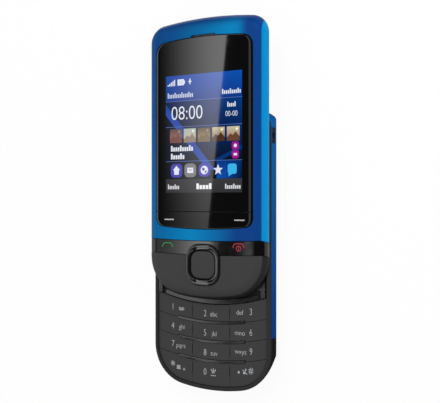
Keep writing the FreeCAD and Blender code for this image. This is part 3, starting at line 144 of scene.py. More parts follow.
# %% Walk round an outline
CORNER_STEPS, CROWN_STEPS, FLANK_STEPS = 12, 30, 14


def trace(shape):
    """Points along an outline, anticlockwise; every outline gives the same number of them."""
    middle_top, middle_bottom = shape.top - shape.top_crown, shape.bottom + shape.bottom_crown
    x_top, x_bottom = shape.half - shape.top_corner, shape.half - shape.bottom_corner
    y_top = middle_top + math.sqrt((shape.top_crown - shape.top_corner) ** 2 - x_top ** 2)
    y_bottom = middle_bottom - math.sqrt((shape.bottom_crown - shape.bottom_corner) ** 2 - x_bottom ** 2)
    turn_top = math.atan2(y_top - middle_top, x_top)
    turn_bottom = math.atan2(middle_bottom - y_bottom, x_bottom)
    half, full = math.pi, 2 * math.pi

    def arc(x, y, radius, first, last, steps):
        turns = [first + (last - first) * i / steps for i in range(steps)]
        return [(x + radius * math.cos(turn), y + radius * math.sin(turn)) for turn in turns]

    def flank(x, start, end):
        return [(x, start + (end - start) * i / FLANK_STEPS) for i in range(FLANK_STEPS)]

    return (arc(x_top, y_top, shape.top_corner, 0, turn_top, CORNER_STEPS)
            + arc(0, middle_top, shape.top_crown, turn_top, half - turn_top, CROWN_STEPS)
            + arc(-x_top, y_top, shape.top_corner, half - turn_top, half, CORNER_STEPS)
            + flank(-shape.half, y_top, y_bottom)
            + arc(-x_bottom, y_bottom, shape.bottom_corner, half, half + turn_bottom, CORNER_STEPS)
            + arc(0, middle_bottom, shape.bottom_crown, half + turn_bottom, full - turn_bottom, CROWN_STEPS)
            + arc(x_bottom, y_bottom, shape.bottom_corner, full - turn_bottom, full, CORNER_STEPS)
            + flank(shape.half, y_bottom, y_top))


print("points on an outline:", len(trace(PHONE)))

# %% [markdown]
# ## From lines to solids
#
# A solid here is a pile of outlines at rising levels, joined by quads and closed with a face at each end.
# When the pile goes up the outside of a wall and down its inside, the same function makes a hollow shell.
# Holes and seams are cut afterwards with booleans, because that is how a moulding is designed too: a form
# first, then its openings.

# %% Piles, plates and blocks
CREASE_HEIGHT = 15.9


def new_object(name, points, faces):
    """A closed mesh from points in millimetres."""
    mesh = bpy.data.meshes.new(name)
    mesh.from_pydata([in_metres(*point) for point in points], [], faces)
    mesh.validate()
    return in_scene(name, mesh)


def walls(levels, count, closed=False):
    """Quads between rings of count points; a closed pile joins its last ring to its first."""
    faces = []
    for level in range(levels if closed else levels - 1):
        low, high = level * count, (level + 1) % levels * count
        faces += [[low + i, low + (i + 1) % count, high + (i + 1) % count, high + i] for i in range(count)]
    return faces


def pile(name, levels, shift=0.0):
    """A solid from (line of points, height) pairs, from the underside round the outside to the last face."""
    count = len(levels[0][0])
    points = [(x, y + shift, z) for line, z in levels for x, y in line]
    underside, last_face = list(reversed(range(count))), list(range(len(points) - count, len(points)))
    return new_object(name, points, [underside] + walls(len(levels), count) + [last_face])


def plate(name, shape, low, high, shift=0.0):
    return pile(name, [(trace(shape), low), (trace(shape), high)], shift)


def rectangle(x0, x1, y0, y1):
    return [(x0, y0), (x1, y0), (x1, y1), (x0, y1)]


def block(name, x0, x1, y0, y1, z0, z1):
    return pile(name, [(rectangle(x0, x1, y0, y1), z) for z in (z0, z1)])


def sag(level, radius, x):
    """The height of an arc that sags towards the phone's lower end, x from the middle."""
    return level + radius - math.sqrt(radius ** 2 - x ** 2)


def arc_band(name, x0, x1, low, low_radius, high, high_radius, z0, z1, shift=0.0, lean=0.0, steps=32):
    """A strip across the phone between two sagging arcs; its foot may lean away towards the lower end."""
    across = [x0 + (x1 - x0) * i / steps for i in range(steps + 1)]
    line = [(x, sag(low, low_radius, x)) for x in across]
    line += [(x, sag(high, high_radius, x)) for x in reversed(across)]
    if not lean:
        return pile(name, [(line, z0), (line, z1)], shift)
    foot = [(x, y - lean * (CREASE_HEIGHT - z0)) for x, y in line]
    return pile(name, [(foot, z0), (line, CREASE_HEIGHT), (line, z1)], shift)


def disc_line(radius, x=0.0, y=0.0, steps=40):
    turns = [2 * math.pi * i / steps for i in range(steps)]
    return [(x + radius * math.cos(turn), y + radius * math.sin(turn)) for turn in turns]


print("solid tools ready")

# %% Cutting and softening
EDGE_ANGLE = math.radians(32)
SHELL_EDGE, PART_EDGE, SHARP_EDGE = 0.12, 0.08, 0.05


def drop(*tools):
    for tool in tools:
        bpy.data.objects.remove(tool)


def plain_mesh(thing):
    """What an object looks like with its modifiers, as a mesh."""
    bpy.context.view_layer.update()
    graph = bpy.context.evaluated_depsgraph_get()
    return bpy.data.meshes.new_from_object(thing.evaluated_get(graph), depsgraph=graph)


def settle(piece):
    """Turns the modifiers of a piece into its mesh."""
    mesh = plain_mesh(piece)
    piece.modifiers.clear()
    piece.data = mesh
    return piece


def carve(piece, *tools, how="DIFFERENCE", keep=False):
    """Cuts tools out of a piece, keeps what they share with it, or joins them to it."""
    for tool in tools:
        step = piece.modifiers.new("carve", "BOOLEAN")
        step.object, step.operation, step.solver = tool, how, "EXACT"
    settle(piece)
    if not keep:
        drop(*tools)
    return piece


def copy_of(piece, name):
    return in_scene(name, piece.data.copy())


def soften(piece, width, steps=2, angle=EDGE_ANGLE):
    """Rounds the edges, then smooths the shading between them."""
    if width:
        edge = piece.modifiers.new("edge", "BEVEL")
        edge.width, edge.segments, edge.limit_method, edge.angle_limit = width * MM, steps, "ANGLE", angle
    flat = piece.modifiers.new("flat", "WEIGHTED_NORMAL")
    flat.keep_sharp = True
    piece.data.shade_smooth()
    return settle(piece)


print("cutting tools ready")

# %% [markdown]
# ## Finishes
#
# A finish is more than a colour. Moulded plastic has a fine spark-eroded grain, polished plastic carries
# faint handling marks, and pearl paint holds flakes that vary its brightness. Each of those effects is a
# small node group that several materials place with their own values.

# %% Node helpers


def shade(red, green, blue):
    """A screen colour from 0 to 255, taken off the sRGB curve to the linear colour that shaders want."""
    def linear(value):
        value /= 255
        return value / 12.92 if value <= 0.04045 else ((value + 0.055) / 1.055) ** 2.4
    return (linear(red), linear(green), linear(blue), 1)


def give(tree, value, socket):
    """Sets a socket to a number or a colour, or links it to another socket."""
    if hasattr(value, "links"):
        tree.links.new(value, socket)
    else:
        socket.default_value = value


def node(tree, kind, **values):
    """A new node; values are numbers, colours or sockets for its inputs."""
    made = tree.nodes.new(kind)
    for label, value in values.items():
        give(tree, value, made.inputs[label.replace("_", " ")])
    return made


def spread(tree, value, low, high, new_low=0.0, new_high=1.0):
    """Maps a value from one range to another, with smooth ends."""
    made = node(tree, "ShaderNodeMapRange", Value=value, From_Min=low, From_Max=high, To_Min=new_low,
                To_Max=new_high)
    made.interpolation_type = "SMOOTHSTEP"
    return made.outputs["Result"]


def mix(tree, factor, first, second):
    """Mixes two colours by a factor."""
    made = node(tree, "ShaderNodeMix")
    made.data_type = "RGBA"
    for value, index in ((factor, 0), (first, 6), (second, 7)):
        give(tree, value, made.inputs[index])
    return made.outputs[2]


def reckon(tree, how, *values):
    """One step of arithmetic on numbers or sockets."""
    made = node(tree, "ShaderNodeMath")
    made.operation = how
    for value, socket in zip(values, made.inputs):
        give(tree, value, socket)
    return made.outputs[0]


def coordinates(tree, kind="Object"):
    return node(tree, "ShaderNodeTexCoord").outputs[kind]


def axes(tree, kind="Object"):
    """The coordinates as three numbers, X, Y and Z."""
    return node(tree, "ShaderNodeSeparateXYZ", Vector=coordinates(tree, kind)).outputs


def noise(tree, scale, detail=2.0, roughness=0.5, distortion=0.0, stretch=None):
    """Noise over the object's own coordinates, which may be stretched first."""
    place = coordinates(tree)
    if stretch:
        place = node(tree, "ShaderNodeMapping", Vector=place, Scale=stretch).outputs["Vector"]
    return node(tree, "ShaderNodeTexNoise", Vector=place, Scale=scale, Detail=detail, Roughness=roughness,
                Distortion=distortion).outputs["Fac"]


print("node helpers ready")

# %% Grain
GRAIN_SCALE = 5000.0
CLOUD_LOW, CLOUD_HIGH = 0.3, 0.7


def new_group(name, inputs, outputs):
    """A shader group; inputs are (label, value) pairs, outputs are labels, and all carry numbers."""
    tree = bpy.data.node_groups.new(name, "ShaderNodeTree")
    for label, value in inputs:
        socket = tree.interface.new_socket(name=label, in_out="INPUT", socket_type="NodeSocketFloat")
        socket.default_value = value
    for label in outputs:
        tree.interface.new_socket(name=label, in_out="OUTPUT", socket_type="NodeSocketFloat")
    return tree, tree.nodes.new("NodeGroupInput").outputs, tree.nodes.new("NodeGroupOutput").inputs


def put_out(tree, end, **values):
    """Links values to the outputs of a group."""
    for label, value in values.items():
        tree.links.new(value, end[label])


def roughness_around(tree, start, value):
    """The group's roughness, which strays by its spread as a value drifts."""
    low = reckon(tree, "SUBTRACT", start["Roughness"], start["Spread"])
    high = reckon(tree, "ADD", start["Roughness"], start["Spread"])
    return spread(tree, value, CLOUD_LOW, CLOUD_HIGH, low, high)


grain_group, start, end = new_group("fine_grain", [("Roughness", 0.5), ("Spread", 0.08),
                                                   ("Scale", GRAIN_SCALE)], ["Roughness", "Height", "Tone"])
pits, clouds = noise(grain_group, start["Scale"]), noise(grain_group, 60, 3.0)
put_out(grain_group, end, Roughness=roughness_around(grain_group, start, clouds), Height=pits, Tone=clouds)

brush_group, start, end = new_group("brushed_grain", [("Roughness", 0.3), ("Spread", 0.08)],
                                    ["Roughness", "Height"])
streaks = noise(brush_group, 1.0, 3.0, stretch=(60, 4000, 4000))
put_out(brush_group, end, Roughness=roughness_around(brush_group, start, streaks), Height=streaks)
print("grain groups", grain_group.name, brush_group.name)

# %% Handling marks and pearl flakes
FLAKE_SCALE = 9000.0
marks_group, start, end = new_group("handling_marks", [("Roughness", 0.06), ("Marks", 0.05)], ["Roughness"])
wipes = spread(marks_group, noise(marks_group, 90, 4.0, 0.6, 1.5), 0.5, 0.75)
added = reckon(marks_group, "MULTIPLY", wipes, start["Marks"])
put_out(marks_group, end, Roughness=reckon(marks_group, "ADD", added, start["Roughness"]))

flake_group, start, end = new_group("pearl_flakes", [("Scale", FLAKE_SCALE), ("Glint", 0.35)],
                                    ["Glint", "Drift"])
flakes = node(flake_group, "ShaderNodeTexVoronoi", Vector=coordinates(flake_group), Scale=start["Scale"])
put_out(flake_group, end, Glint=reckon(flake_group, "MULTIPLY", flakes.outputs["Color"], start["Glint"]),
        Drift=noise(flake_group, 14, 1.0))
print("node groups", [group.name for group in bpy.data.node_groups])

# %% Material makers


def new_material(name, colour, roughness=0.5, metallic=0.0, **levels):
    """A principled material; levels are more of the shader's own sockets."""
    material = bpy.data.materials.new(name)
    material.use_nodes = True
    shader = material.node_tree.nodes["Principled BSDF"].inputs
    for label, value in dict(levels, Base_Color=colour, Roughness=roughness, Metallic=metallic).items():
        shader[label.replace("_", " ")].default_value = value
    return material, material.node_tree, shader


def placed(tree, group, **values):
    """A group in a material's tree, with its own values; gives the group's outputs."""
    made = node(tree, "ShaderNodeGroup")
    made.node_tree = group
    for label, value in values.items():
        made.inputs[label].default_value = value
    return made.outputs


def bump(tree, shader, height, strength, distance):
    made = node(tree, "ShaderNodeBump", Strength=strength, Distance=distance * MM, Height=height)
    tree.links.new(made.outputs["Normal"], shader["Normal"])


def moulded(name, colour, roughness, scale=GRAIN_SCALE, depth=0.004, tone=0.10, **levels):
    """Plastic with a fine spark-eroded grain and a slight drift of its tone."""
    material, tree, shader = new_material(name, colour, roughness, **levels)
    grain = placed(tree, grain_group, Roughness=roughness, Spread=0.05, Scale=scale)
    tree.links.new(grain["Roughness"], shader["Roughness"])
    paler = tuple(min(1, c * (1 + tone)) for c in colour[:3]) + (1,)
    darker = tuple(c * (1 - tone) for c in colour[:3]) + (1,)
    tree.links.new(mix(tree, grain["Tone"], darker, paler), shader["Base Color"])
    bump(tree, shader, grain["Height"], 0.35, depth)
    return material


def wipe_marks(tree, shader, roughness, marks):
    wiped = placed(tree, marks_group, Roughness=roughness, Marks=marks)
    tree.links.new(wiped["Roughness"], shader["Roughness"])


def polished(name, colour, roughness=0.05, marks=0.05, **levels):
    """Polished plastic with faint wipe marks."""
    material, tree, shader = new_material(name, colour, roughness, **levels)
    wipe_marks(tree, shader, roughness, marks)
    return material


def brushed(name, colour, roughness):
    """Rolled or brushed sheet metal."""
    material, tree, shader = new_material(name, colour, roughness, 0.95)
    grain = placed(tree, brush_group, Roughness=roughness, Spread=0.1)
    tree.links.new(grain["Roughness"], shader["Roughness"])
    bump(tree, shader, grain["Height"], 0.2, 0.002)
    return material


print("material makers ready")

# %% Colours that change with the place


def paint_shade_below(material, low, high, tone):
    """Paints shade onto a finish: darker below a height, where the wall turns under."""
    tree = material.node_tree
    colour = tree.nodes["Principled BSDF"].inputs["Base Color"]
    above = colour.links[0].from_socket
    # Painted shade: below the band from low to high, the colour turns to the darker tone.
    factor = spread(tree, axes(tree)["Z"], low * MM, high * MM)
    tree.links.new(mix(tree, factor, tone, above), colour)
    return material


def ramp(tree, value, stops):
    """A colour that changes along a value; stops are (position, colour) pairs."""
    made = node(tree, "ShaderNodeValToRGB", Fac=value)
    elements = made.color_ramp.elements
    while len(elements) > 1:
        elements.remove(elements[0])
    elements[0].position, elements[0].color = stops[0]
    for position, colour in stops[1:]:
        elements.new(position).color = colour
    return made.outputs["Color"]


print("colour tools ready")

# %% [markdown]
# ## Pearl paint
#
# Pearl paint holds flakes under a clear coat. It reads as azure where it turns to the light and as deep blue
# elsewhere. A single blue looks flat, so that light and shade is painted into the colour here: it changes
# across the width of the phone, azure where light and reflections fall and deep blue where the paint mirrors
# dark, broken up a little by noise, and a fine cell pattern varies the gloss from flake to flake.

# %% Pearl paint maker
PAINT_REACH = 48.0
SLIDE_FROM, SLIDE_TO = -12, 64
DRIFT, GLINT, GLOSS = 0.03, 0.16, 0.24


def pearl_and_painted_light(name, stops, metallic, specular, slide=0.0):
    """Pearl paint with painted light and shade; stops are (x in millimetres, colour) pairs of painted light
    and shade across the width, which slide sideways towards the top end.
    """
    material, tree, shader = new_material(name, stops[0][1], 0.3, metallic, Specular_IOR_Level=specular)
    flake = placed(tree, flake_group, Scale=FLAKE_SCALE, Glint=GLINT)
    place = axes(tree)
    along = spread(tree, place["Y"], SLIDE_FROM * MM, SLIDE_TO * MM, 0.0, slide * MM)
    shifted = reckon(tree, "SUBTRACT", place["X"], along)
    across = reckon(tree, "MULTIPLY_ADD", shifted, 0.5 / (PAINT_REACH * MM), 0.5)
    drift = reckon(tree, "MULTIPLY_ADD", flake["Drift"], DRIFT, -DRIFT / 2)
    # Painted light and shade: the colour follows the stops across the width.
    painted_light = ramp(tree, reckon(tree, "ADD", across, drift),
                 [((x / PAINT_REACH + 1) / 2, colour) for x, colour in stops])
    tree.links.new(reckon(tree, "ADD", flake["Glint"], GLOSS), shader["Roughness"])
    return material, tree, shader, place, painted_light


print("pearl paint maker ready")

# %% The two paints
# Painted light and shade on the blue frame: azure where light and reflections fall, deep blue where the right
# front bezel mirrors dark, a darker blue at the top edge, and azure on the right side wall where the right
# lamp lights it.
PAINTED_SHADE_BLUE, PAINTED_TOP_SHADE, PAINTED_WALL_LIGHT = shade(10, 62, 132), shade(8, 46, 106), shade(0, 138, 202)
paint_frame, tree, shader, place, painted_light = pearl_and_painted_light("pearl_blue_frame_painted_light", [
    (-40.0, shade(6, 62, 120)), (-30.0, shade(4, 70, 130)), (-22.0, shade(0, 90, 144)),
    (-13.0, shade(0, 108, 164)), (-5.0, shade(0, 124, 182)), (5.0, shade(2, 102, 162)), (13.0, PAINTED_SHADE_BLUE),
    (20.0, shade(8, 54, 122)),
], 0.1, 0.08, 17.0)
# Painted shade on the right front bezel and the top edge, and painted light on the right side wall.
for axis, low, high, tone in (("X", 13.5, 18.0, PAINTED_SHADE_BLUE), ("Y", 60.5, 65.5, PAINTED_TOP_SHADE),
                              ("X", 22.2, 22.8, PAINTED_WALL_LIGHT)):
    painted_light = mix(tree, spread(tree, place[axis], low * MM, high * MM), painted_light, tone)
tree.links.new(painted_light, shader["Base Color"])

# Painted light and shade on the battery cover: azure in the middle, and darker blue towards both rolled
# flanks.
paint_cover, tree, shader, place, painted_light = pearl_and_painted_light("pearl_blue_cover_painted_light", [
    (-23.6, shade(18, 78, 166)), (-17.0, shade(4, 112, 190)), (0.0, shade(0, 126, 200)),
    (17.0, shade(4, 112, 190)), (21.5, shade(22, 94, 158)), (23.7, shade(24, 94, 156)),
], 0.0, 0.0)
# The colour turns darker blue towards the lower end.
lower_end = spread(tree, place["Y"], 30 * MM, -55 * MM)
tree.links.new(mix(tree, lower_end, painted_light, shade(18, 60, 122)), shader["Base Color"])
print("paints", paint_frame.name, paint_cover.name)

# %% Glossy and grained plastics
glass_black = polished("window_gloss", shade(6, 6, 7), 0.03, 0.02, Coat_Weight=0.5, Coat_Roughness=0.02)
gloss_black = polished("gloss_trim", shade(22, 22, 23), 0.10)
call_gloss = polished("call_gloss", shade(10, 10, 10), 0.06, 0.04, Specular_IOR_Level=0.5)
ring_black = polished("ring_gloss", shade(14, 14, 15), 0.07, 0.03, Specular_IOR_Level=0.8, Coat_Weight=0.6,
                      Coat_Roughness=0.05)
ridge_black = polished("ridge_gloss", shade(30, 30, 30), 0.12, 0.04, Specular_IOR_Level=1.0)
# Painted shade on the chin's wall below its crease, and on the sides of the select key, which shares this
# finish: the grey turns darker from 15.9 mm down to 15.2 mm.
chin_grey = paint_shade_below(moulded("chin_grey", shade(58, 58, 58), 0.55, Specular_IOR_Level=0.15), 15.2, 15.9,
                        shade(32, 32, 33))
key_grey = moulded("key_grey", shade(58, 58, 59), 0.6, scale=6000.0, depth=0.003, Specular_IOR_Level=0.15)
housing_grey = moulded("housing_grey", shade(48, 48, 49), 0.5, Specular_IOR_Level=0.0)
cap_grey = moulded("cap_grey", shade(30, 30, 30), 0.5, Specular_IOR_Level=0.0)
seam_black = moulded("seam_black", shade(8, 8, 8), 0.8, Specular_IOR_Level=0.1)
legend_grey = moulded("legend_grey", shade(176, 178, 180), 0.6, tone=0.03)
dash_silver = moulded("dash_silver", shade(172, 172, 174), 0.5, tone=0.03)
handset_green = moulded("handset_green", shade(30, 132, 62), 0.5, tone=0.05)
handset_red = moulded("handset_red", shade(160, 26, 48), 0.5, tone=0.05)
speaker_black = moulded("speaker_cloth", shade(30, 30, 32), 0.6)
print("outside finishes", len(bpy.data.materials))

# %% [markdown]
# ## A lit display
#
# A display shows its picture by its own light, under glass that still mirrors the room. So its material
# emits a colour and keeps a black, polished surface. The colour comes from the mesh: every patch of the
# picture carries its own tint, which lets one material serve the whole picture.

# %% Display light
screen_light, tree, shader = new_material("screen_light", (0, 0, 0, 1), 0.03, Coat_Weight=0.5,
                                          Coat_Roughness=0.02)
tints = node(tree, "ShaderNodeAttribute")
tints.attribute_name = "tint"
wipe_marks(tree, shader, 0.03, 0.02)
tree.links.new(tints.outputs["Color"], shader["Emission Color"])
shader["Emission Strength"].default_value = 0.92
print("display light ready")

# %% The inside finishes
SLOTS = {
    "blue_paint": paint_frame,
    "window_black": glass_black,
    "gloss_black": gloss_black,
    "soft_grey": housing_grey,
    "key_grey": key_grey,
    "steel": brushed("sheet_steel", shade(168, 170, 174), 0.36),
    "rail_steel": brushed("rail_steel", shade(96, 97, 100), 0.35),
    "board_green": moulded("board_green", shade(24, 92, 58), 0.4, scale=900.0, depth=0.01, tone=0.25),
    "film": moulded("amber_film", shade(150, 96, 30), 0.35, scale=1200.0, depth=0.002),
    "inner_plastic": moulded("inner_plastic", shade(42, 46, 50), 0.5, Specular_IOR_Level=0.0),
    "battery_wrap": moulded("battery_wrap", shade(70, 74, 82), 0.4, scale=2000.0, depth=0.002),
    "gold": brushed("contact_gold", shade(216, 168, 78), 0.3),
    "lens_glass": polished("lens_black", shade(10, 10, 14), 0.03, 0.02, Coat_Weight=1.0, Coat_Roughness=0.02),
    "lcd_glass": polished("panel_glass", shade(18, 22, 26), 0.08, 0.02),
    "white_plastic": moulded("white_plastic", shade(228, 228, 226), 0.45, tone=0.04),
}
for part in frame["nodes"].values():
    slot = part.data.materials[0].name.split(".")[0]
    part.data.materials[0] = SLOTS[slot]
print("slots dressed", len(SLOTS))

# %% [markdown]
# ## Putting a piece in its place
#
# Every finished piece gets a material and a body to ride on, and the CAD node that it stands for is hidden.
# One function does all three, so that none is forgotten.

# %% Finish a piece


def dress(piece, material, body, slot, *nodes):
    piece.data.materials.clear()
    piece.data.materials.append(material)
    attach(piece, body)
    if nodes:
        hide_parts(*nodes)
    return piece


def tally(*pieces):
    print({piece.name: len(piece.data.polygons) for piece in pieces})


print("dressing tools ready")

# %% [markdown]
# ## Display half: one form, four mouldings
#
# The shell of the display half bulges at its flank, turns at a crease, and rolls over a low shoulder onto a
# flat face. On the real phone a blue frame, a glossy strip and a soft grey chin share that skin. Here the
# whole shell is piled up once, and thin curved seams cut it into its mouldings, so the skin runs on without a
# step.

# %% Display shell
UNDERSIDE, FACE = 12.5, 16.8
CREASE_RISE, FACE_RISE = CREASE_HEIGHT - UNDERSIDE, 4.3
CREASE_INSET, FACE_INSET = 1.45, 4.2
WIDEST_RISE = 0.6
SHELL_WALL, SHELL_CEILING = 2.0, 15.1
GASKET_DEPTH, GASKET_HALF, GASKET_LOW = 0.35, 22.0, 15.4


def flank_inset(rise):
    """How far the bulging flank lies inside the outline, that far above the underside."""
    return CREASE_INSET * ((rise - WIDEST_RISE) / (CREASE_RISE - WIDEST_RISE)) ** 2


def skin_levels(depth=0.0):
    """The outside of the display half, from its underside up to the face, or a skin that far inside it."""
    turns = [(flank_inset(rise), rise) for rise in (0, 0.3, 0.6, 0.9, 1.2, 1.6, 2.0, 2.4, 2.8, 3.1, 3.4)]
    for share in (0.04, 0.12, 0.25, 0.4, 0.55, 0.7, 0.85, 1.0):
        turns.append((CREASE_INSET + (FACE_INSET - CREASE_INSET) * share,
                      CREASE_RISE + (FACE_RISE - CREASE_RISE) * (1 - (1 - share) ** 2)))
    return [(trace(shrink(PHONE, side + depth)), UNDERSIDE + rise - depth) for side, rise in turns]


hollow = trace(shrink(PHONE, SHELL_WALL))
shell = pile("shell", [(hollow, SHELL_CEILING), (hollow, UNDERSIDE)] + skin_levels(), UPPER)
solid = pile("solid", skin_levels(), UPPER)
gasket = pile("seam_gasket", skin_levels(GASKET_DEPTH), UPPER)
tally(shell, solid)

# %% Seams and openings
STRIP_RADIUS, WALL_LEAN = 470, 0.3
BLUE_END, STRIP_END, SPLIT = -28.9, -33.85, -18.8
SEAM, STRIP_EDGE = 0.2, 0.06
WINDOW_FIT, SOFT_FIT, RING_FIT = 0.09, 0.12, 0.15
POCKET_FLOOR, CALL_FLOOR, EAR_FLOOR = 15.8, 15.6, 15.0
CALL_HALF, CALL_GAP = 22.25, 0.1
EAR_HALF, EAR_LOW, EAR_HIGH = 5.0, 41.8, 43.2
SIDE, FAR, DEEP, HIGH = 30, 60, 8, 20


def between_seams(name, low, high):
    """A slice of the display half between two seams, which lean on the side wall."""
    return arc_band(name, -SIDE, SIDE, low, STRIP_RADIUS, high, STRIP_RADIUS, DEEP, HIGH, UPPER, WALL_LEAN)


def slab(name, low, high, half=SIDE, floor=DEEP):
    """A block through everything above its floor."""
    return block(name, -half, half, low, high, floor, HIGH)


blue_side = between_seams("blue_side", BLUE_END, FAR)
strip_side = between_seams("strip_side", STRIP_END, BLUE_END - SEAM)
chin_side = between_seams("chin_side", -FAR, STRIP_END - SEAM)
seams = [between_seams("seam", seam_end - SEAM, seam_end) for seam_end in (BLUE_END, STRIP_END)]
pocket = plate("pocket", shrink(WINDOW, -WINDOW_FIT), POCKET_FLOOR, HIGH, UPPER)
soft_opening = plate("soft_opening", shrink(WINDOW, -SOFT_FIT), DEEP, HIGH, UPPER)
carve(soft_opening, slab("soft_reach", -FAR, SPLIT + UPPER), how="INTERSECT")
ring_hole = plate("ring_hole", shrink(RING, -RING_FIT), DEEP, HIGH, UPPER)
call_room = slab("call_room", -FAR, FAR, CALL_HALF + CALL_GAP, SHELL_CEILING)
call_reach = slab("call_reach", -FAR, FAR, CALL_HALF, CALL_FLOOR)
ear_slot = slab("ear_slot", EAR_LOW + UPPER, EAR_HIGH + UPPER, EAR_HALF, EAR_FLOOR)
print("tools for the display half ready")

# %% Display frame, strip, call bar and chin
display_frame = carve(copy_of(shell, "frame_blue"), blue_side, how="INTERSECT")
carve(display_frame, pocket, soft_opening, ear_slot)
soften(display_frame, SHELL_EDGE)
dress(display_frame, paint_frame, "display", "blue_paint", "display_frame")

strip_ends = carve(copy_of(shell, "strip_ends"), strip_side, how="INTERSECT", keep=True)
carve(strip_ends, call_room)
soften(strip_ends, STRIP_EDGE)
dress(strip_ends, call_gloss, "display", "gloss_black", "call_strip_ends")

call_bar = carve(copy_of(solid, "call_bar"), strip_side, how="INTERSECT")
carve(call_bar, call_reach, how="INTERSECT")
carve(call_bar, ring_hole, keep=True)
soften(call_bar, PART_EDGE)
dress(call_bar, call_gloss, "call_keys", "gloss_black", "call_key_bar")

chin = carve(copy_of(shell, "chin"), chin_side, how="INTERSECT")
carve(chin, ring_hole, keep=True)
soften(chin, SHELL_EDGE)
dress(chin, chin_grey, "display", "soft_grey", "chin_cover")

carve(seams[0], seams[1], how="UNION")
carve(gasket, seams[0], how="INTERSECT")
carve(gasket, ring_hole, block("gasket_room", -GASKET_HALF, GASKET_HALF, -FAR, FAR, DEEP, GASKET_LOW))
dress(gasket, seam_black, "display", "inner_plastic")
drop(shell, solid)
tally(display_frame, strip_ends, call_bar, chin, gasket)

# %% [markdown]
# ## Window and soft keys
#
# One black gloss sheet with a bevel down each side covers the display. A hair-thin gap parts it from the soft
# key bar below, which is the same sheet in section. Both are the same pile of outlines, split by one box. A
# black tape under the sheet keeps the painted frame from showing in the gap.

# %% Window, soft key bar and tape
WINDOW_FACE, WINDOW_LOW, SOFT_LOW = 16.9, 15.87, 15.7
TAPE_LOW, TAPE_TOP, TAPE_EDGE = 15.75, 15.85, 0.05
HALF_GAP, TAPE_PAST_GAP = 0.1, 0.02
TAPE_HOLE = (-14.0 + UPPER, 31.4 + UPPER, 17.0)
BEVEL_START = 0.25
BEVEL = ((0.75, 0.15, 0.4, 0.06), (1.53, 0.3, 0.8, 0))
BEVEL_ANGLE = math.radians(4)


def sheet_part(name, low, cut, body, cad_node):
    """One part of the window sheet; a bevel is inset at side, end and corner, and lies below the face."""
    levels = [(trace(WINDOW), low), (trace(WINDOW), WINDOW_FACE - BEVEL_START)]
    levels += [(trace(shrink(WINDOW, *inset)), WINDOW_FACE - below) for *inset, below in BEVEL]
    part = carve(pile(name, levels, UPPER), cut, how="INTERSECT")
    return dress(soften(part, SHARP_EDGE, angle=BEVEL_ANGLE), glass_black, body, "window_black", cad_node)


window = sheet_part("window", WINDOW_LOW, slab("above_split", SPLIT + HALF_GAP + UPPER, FAR + UPPER),
                    "display", "display_window")
soft_bar = sheet_part("soft_bar", SOFT_LOW, slab("below_split", -FAR, SPLIT - HALF_GAP + UPPER),
                      "soft_keys", "soft_key_bar")
tape = plate("window_tape", shrink(WINDOW, -TAPE_EDGE), TAPE_LOW, TAPE_TOP, UPPER)
carve(tape, slab("tape_end", -FAR, SPLIT + TAPE_PAST_GAP + UPPER), slab("tape_opening", *TAPE_HOLE))
dress(tape, seam_black, "display", "inner_plastic")
tally(window, soft_bar, tape)

# %% [markdown]
# ## Navigation ring and select key
#
# The ring is a polished band with a rounded crown. Its section is walked from the outer outline to the inner
# one, and because both outlines have the same number of points, a blend between them gives every line across
# the crown. The select key in the middle is a low pillow.

# %% Ring and select key
RING_PROFILE = (
    (0.0, 15.6), (0.0, 16.85), (0.03, 17.08), (0.08, 17.24), (0.15, 17.34), (0.24, 17.39), (0.32, 17.4),
    (0.42, 17.38), (0.6, 17.31), (0.76, 17.23), (0.85, 17.14), (0.92, 16.97), (0.97, 16.7), (1.0, 16.4),
    (1.0, 15.6))
PILLOW_PROFILE = ((0.0, 15.2), (0.0, 16.85), (0.05, 16.97), (0.15, 17.07), (0.3, 17.14), (0.6, 17.19),
                  (1.1, 17.22), (1.8, 17.24), (2.4, 17.25))
ring_outer, ring_inner = trace(RING), trace(shrink(SELECT, -RING_FIT))
points = [(x0 + (x1 - x0) * share, y0 + (y1 - y0) * share + UPPER, z) for share, z in RING_PROFILE
          for (x0, y0), (x1, y1) in zip(ring_outer, ring_inner)]
ring = soften(new_object("ring", points, walls(len(RING_PROFILE), len(ring_outer), closed=True)), 0)
dress(ring, ring_black, "navi_rock", "gloss_black", "navi_ring")

select = soften(pile("select", [(trace(shrink(SELECT, side)), z) for side, z in PILLOW_PROFILE], UPPER), 0)
dress(select, chin_grey, "select", "soft_grey", "select_key")
tally(ring, select)

# %% [markdown]
# ## Keypad
#
# Twelve flat keys fill a curved field: the rows sag towards the phone's lower end, and hair-thin slits part
# them. Each key is one cell of that field, cut out of the same plate, so the gaps stay even everywhere.

# %% Keys
KEY_FACE, KEY_LOW = 11.4, 10.45
ROW_RADIUS, PAD_RADIUS = 90, 72
ROW_TOP, FIRST_ROW, ROW_PITCH = -19.3, 6.4, 6.85
COLUMN_X = 7.7
SLIT, COLUMN_SLIT = 0.16, 0.06
PAD_INSET, PAD_DEEP, PAD_CLEAR = 1.4, 9, 13
KEY_ROWS = (("1", "2", "3"), ("4", "5", "6"), ("7", "8", "9"), ("star", "0", "hash"))
RIDGE_HALF, RIDGE_REACH, RIDGE_ROOM = 0.475, 13.8, 0.1
GROOVE_HALF, GROOVE_REACH, GROOVE_FLOOR = 0.15, 1.85, 11.0


def row_line(row):
    """Where the slit below a row lies; row 0 is the keypad's upper edge."""
    return ROW_TOP if row == 0 else ROW_TOP - FIRST_ROW - ROW_PITCH * (row - 1)


def ridge_band(name, row, spare, low, high):
    half, reach = RIDGE_HALF + spare, RIDGE_REACH + spare
    return arc_band(name, -reach, reach, row_line(row) - half, ROW_RADIUS, row_line(row) + half, ROW_RADIUS,
                    low, high, LOWER)


def groove(x, y):
    return block("groove", x - GROOVE_HALF, x + GROOVE_HALF, y - GROOVE_REACH, y + GROOVE_REACH, GROOVE_FLOOR,
                 PAD_CLEAR)


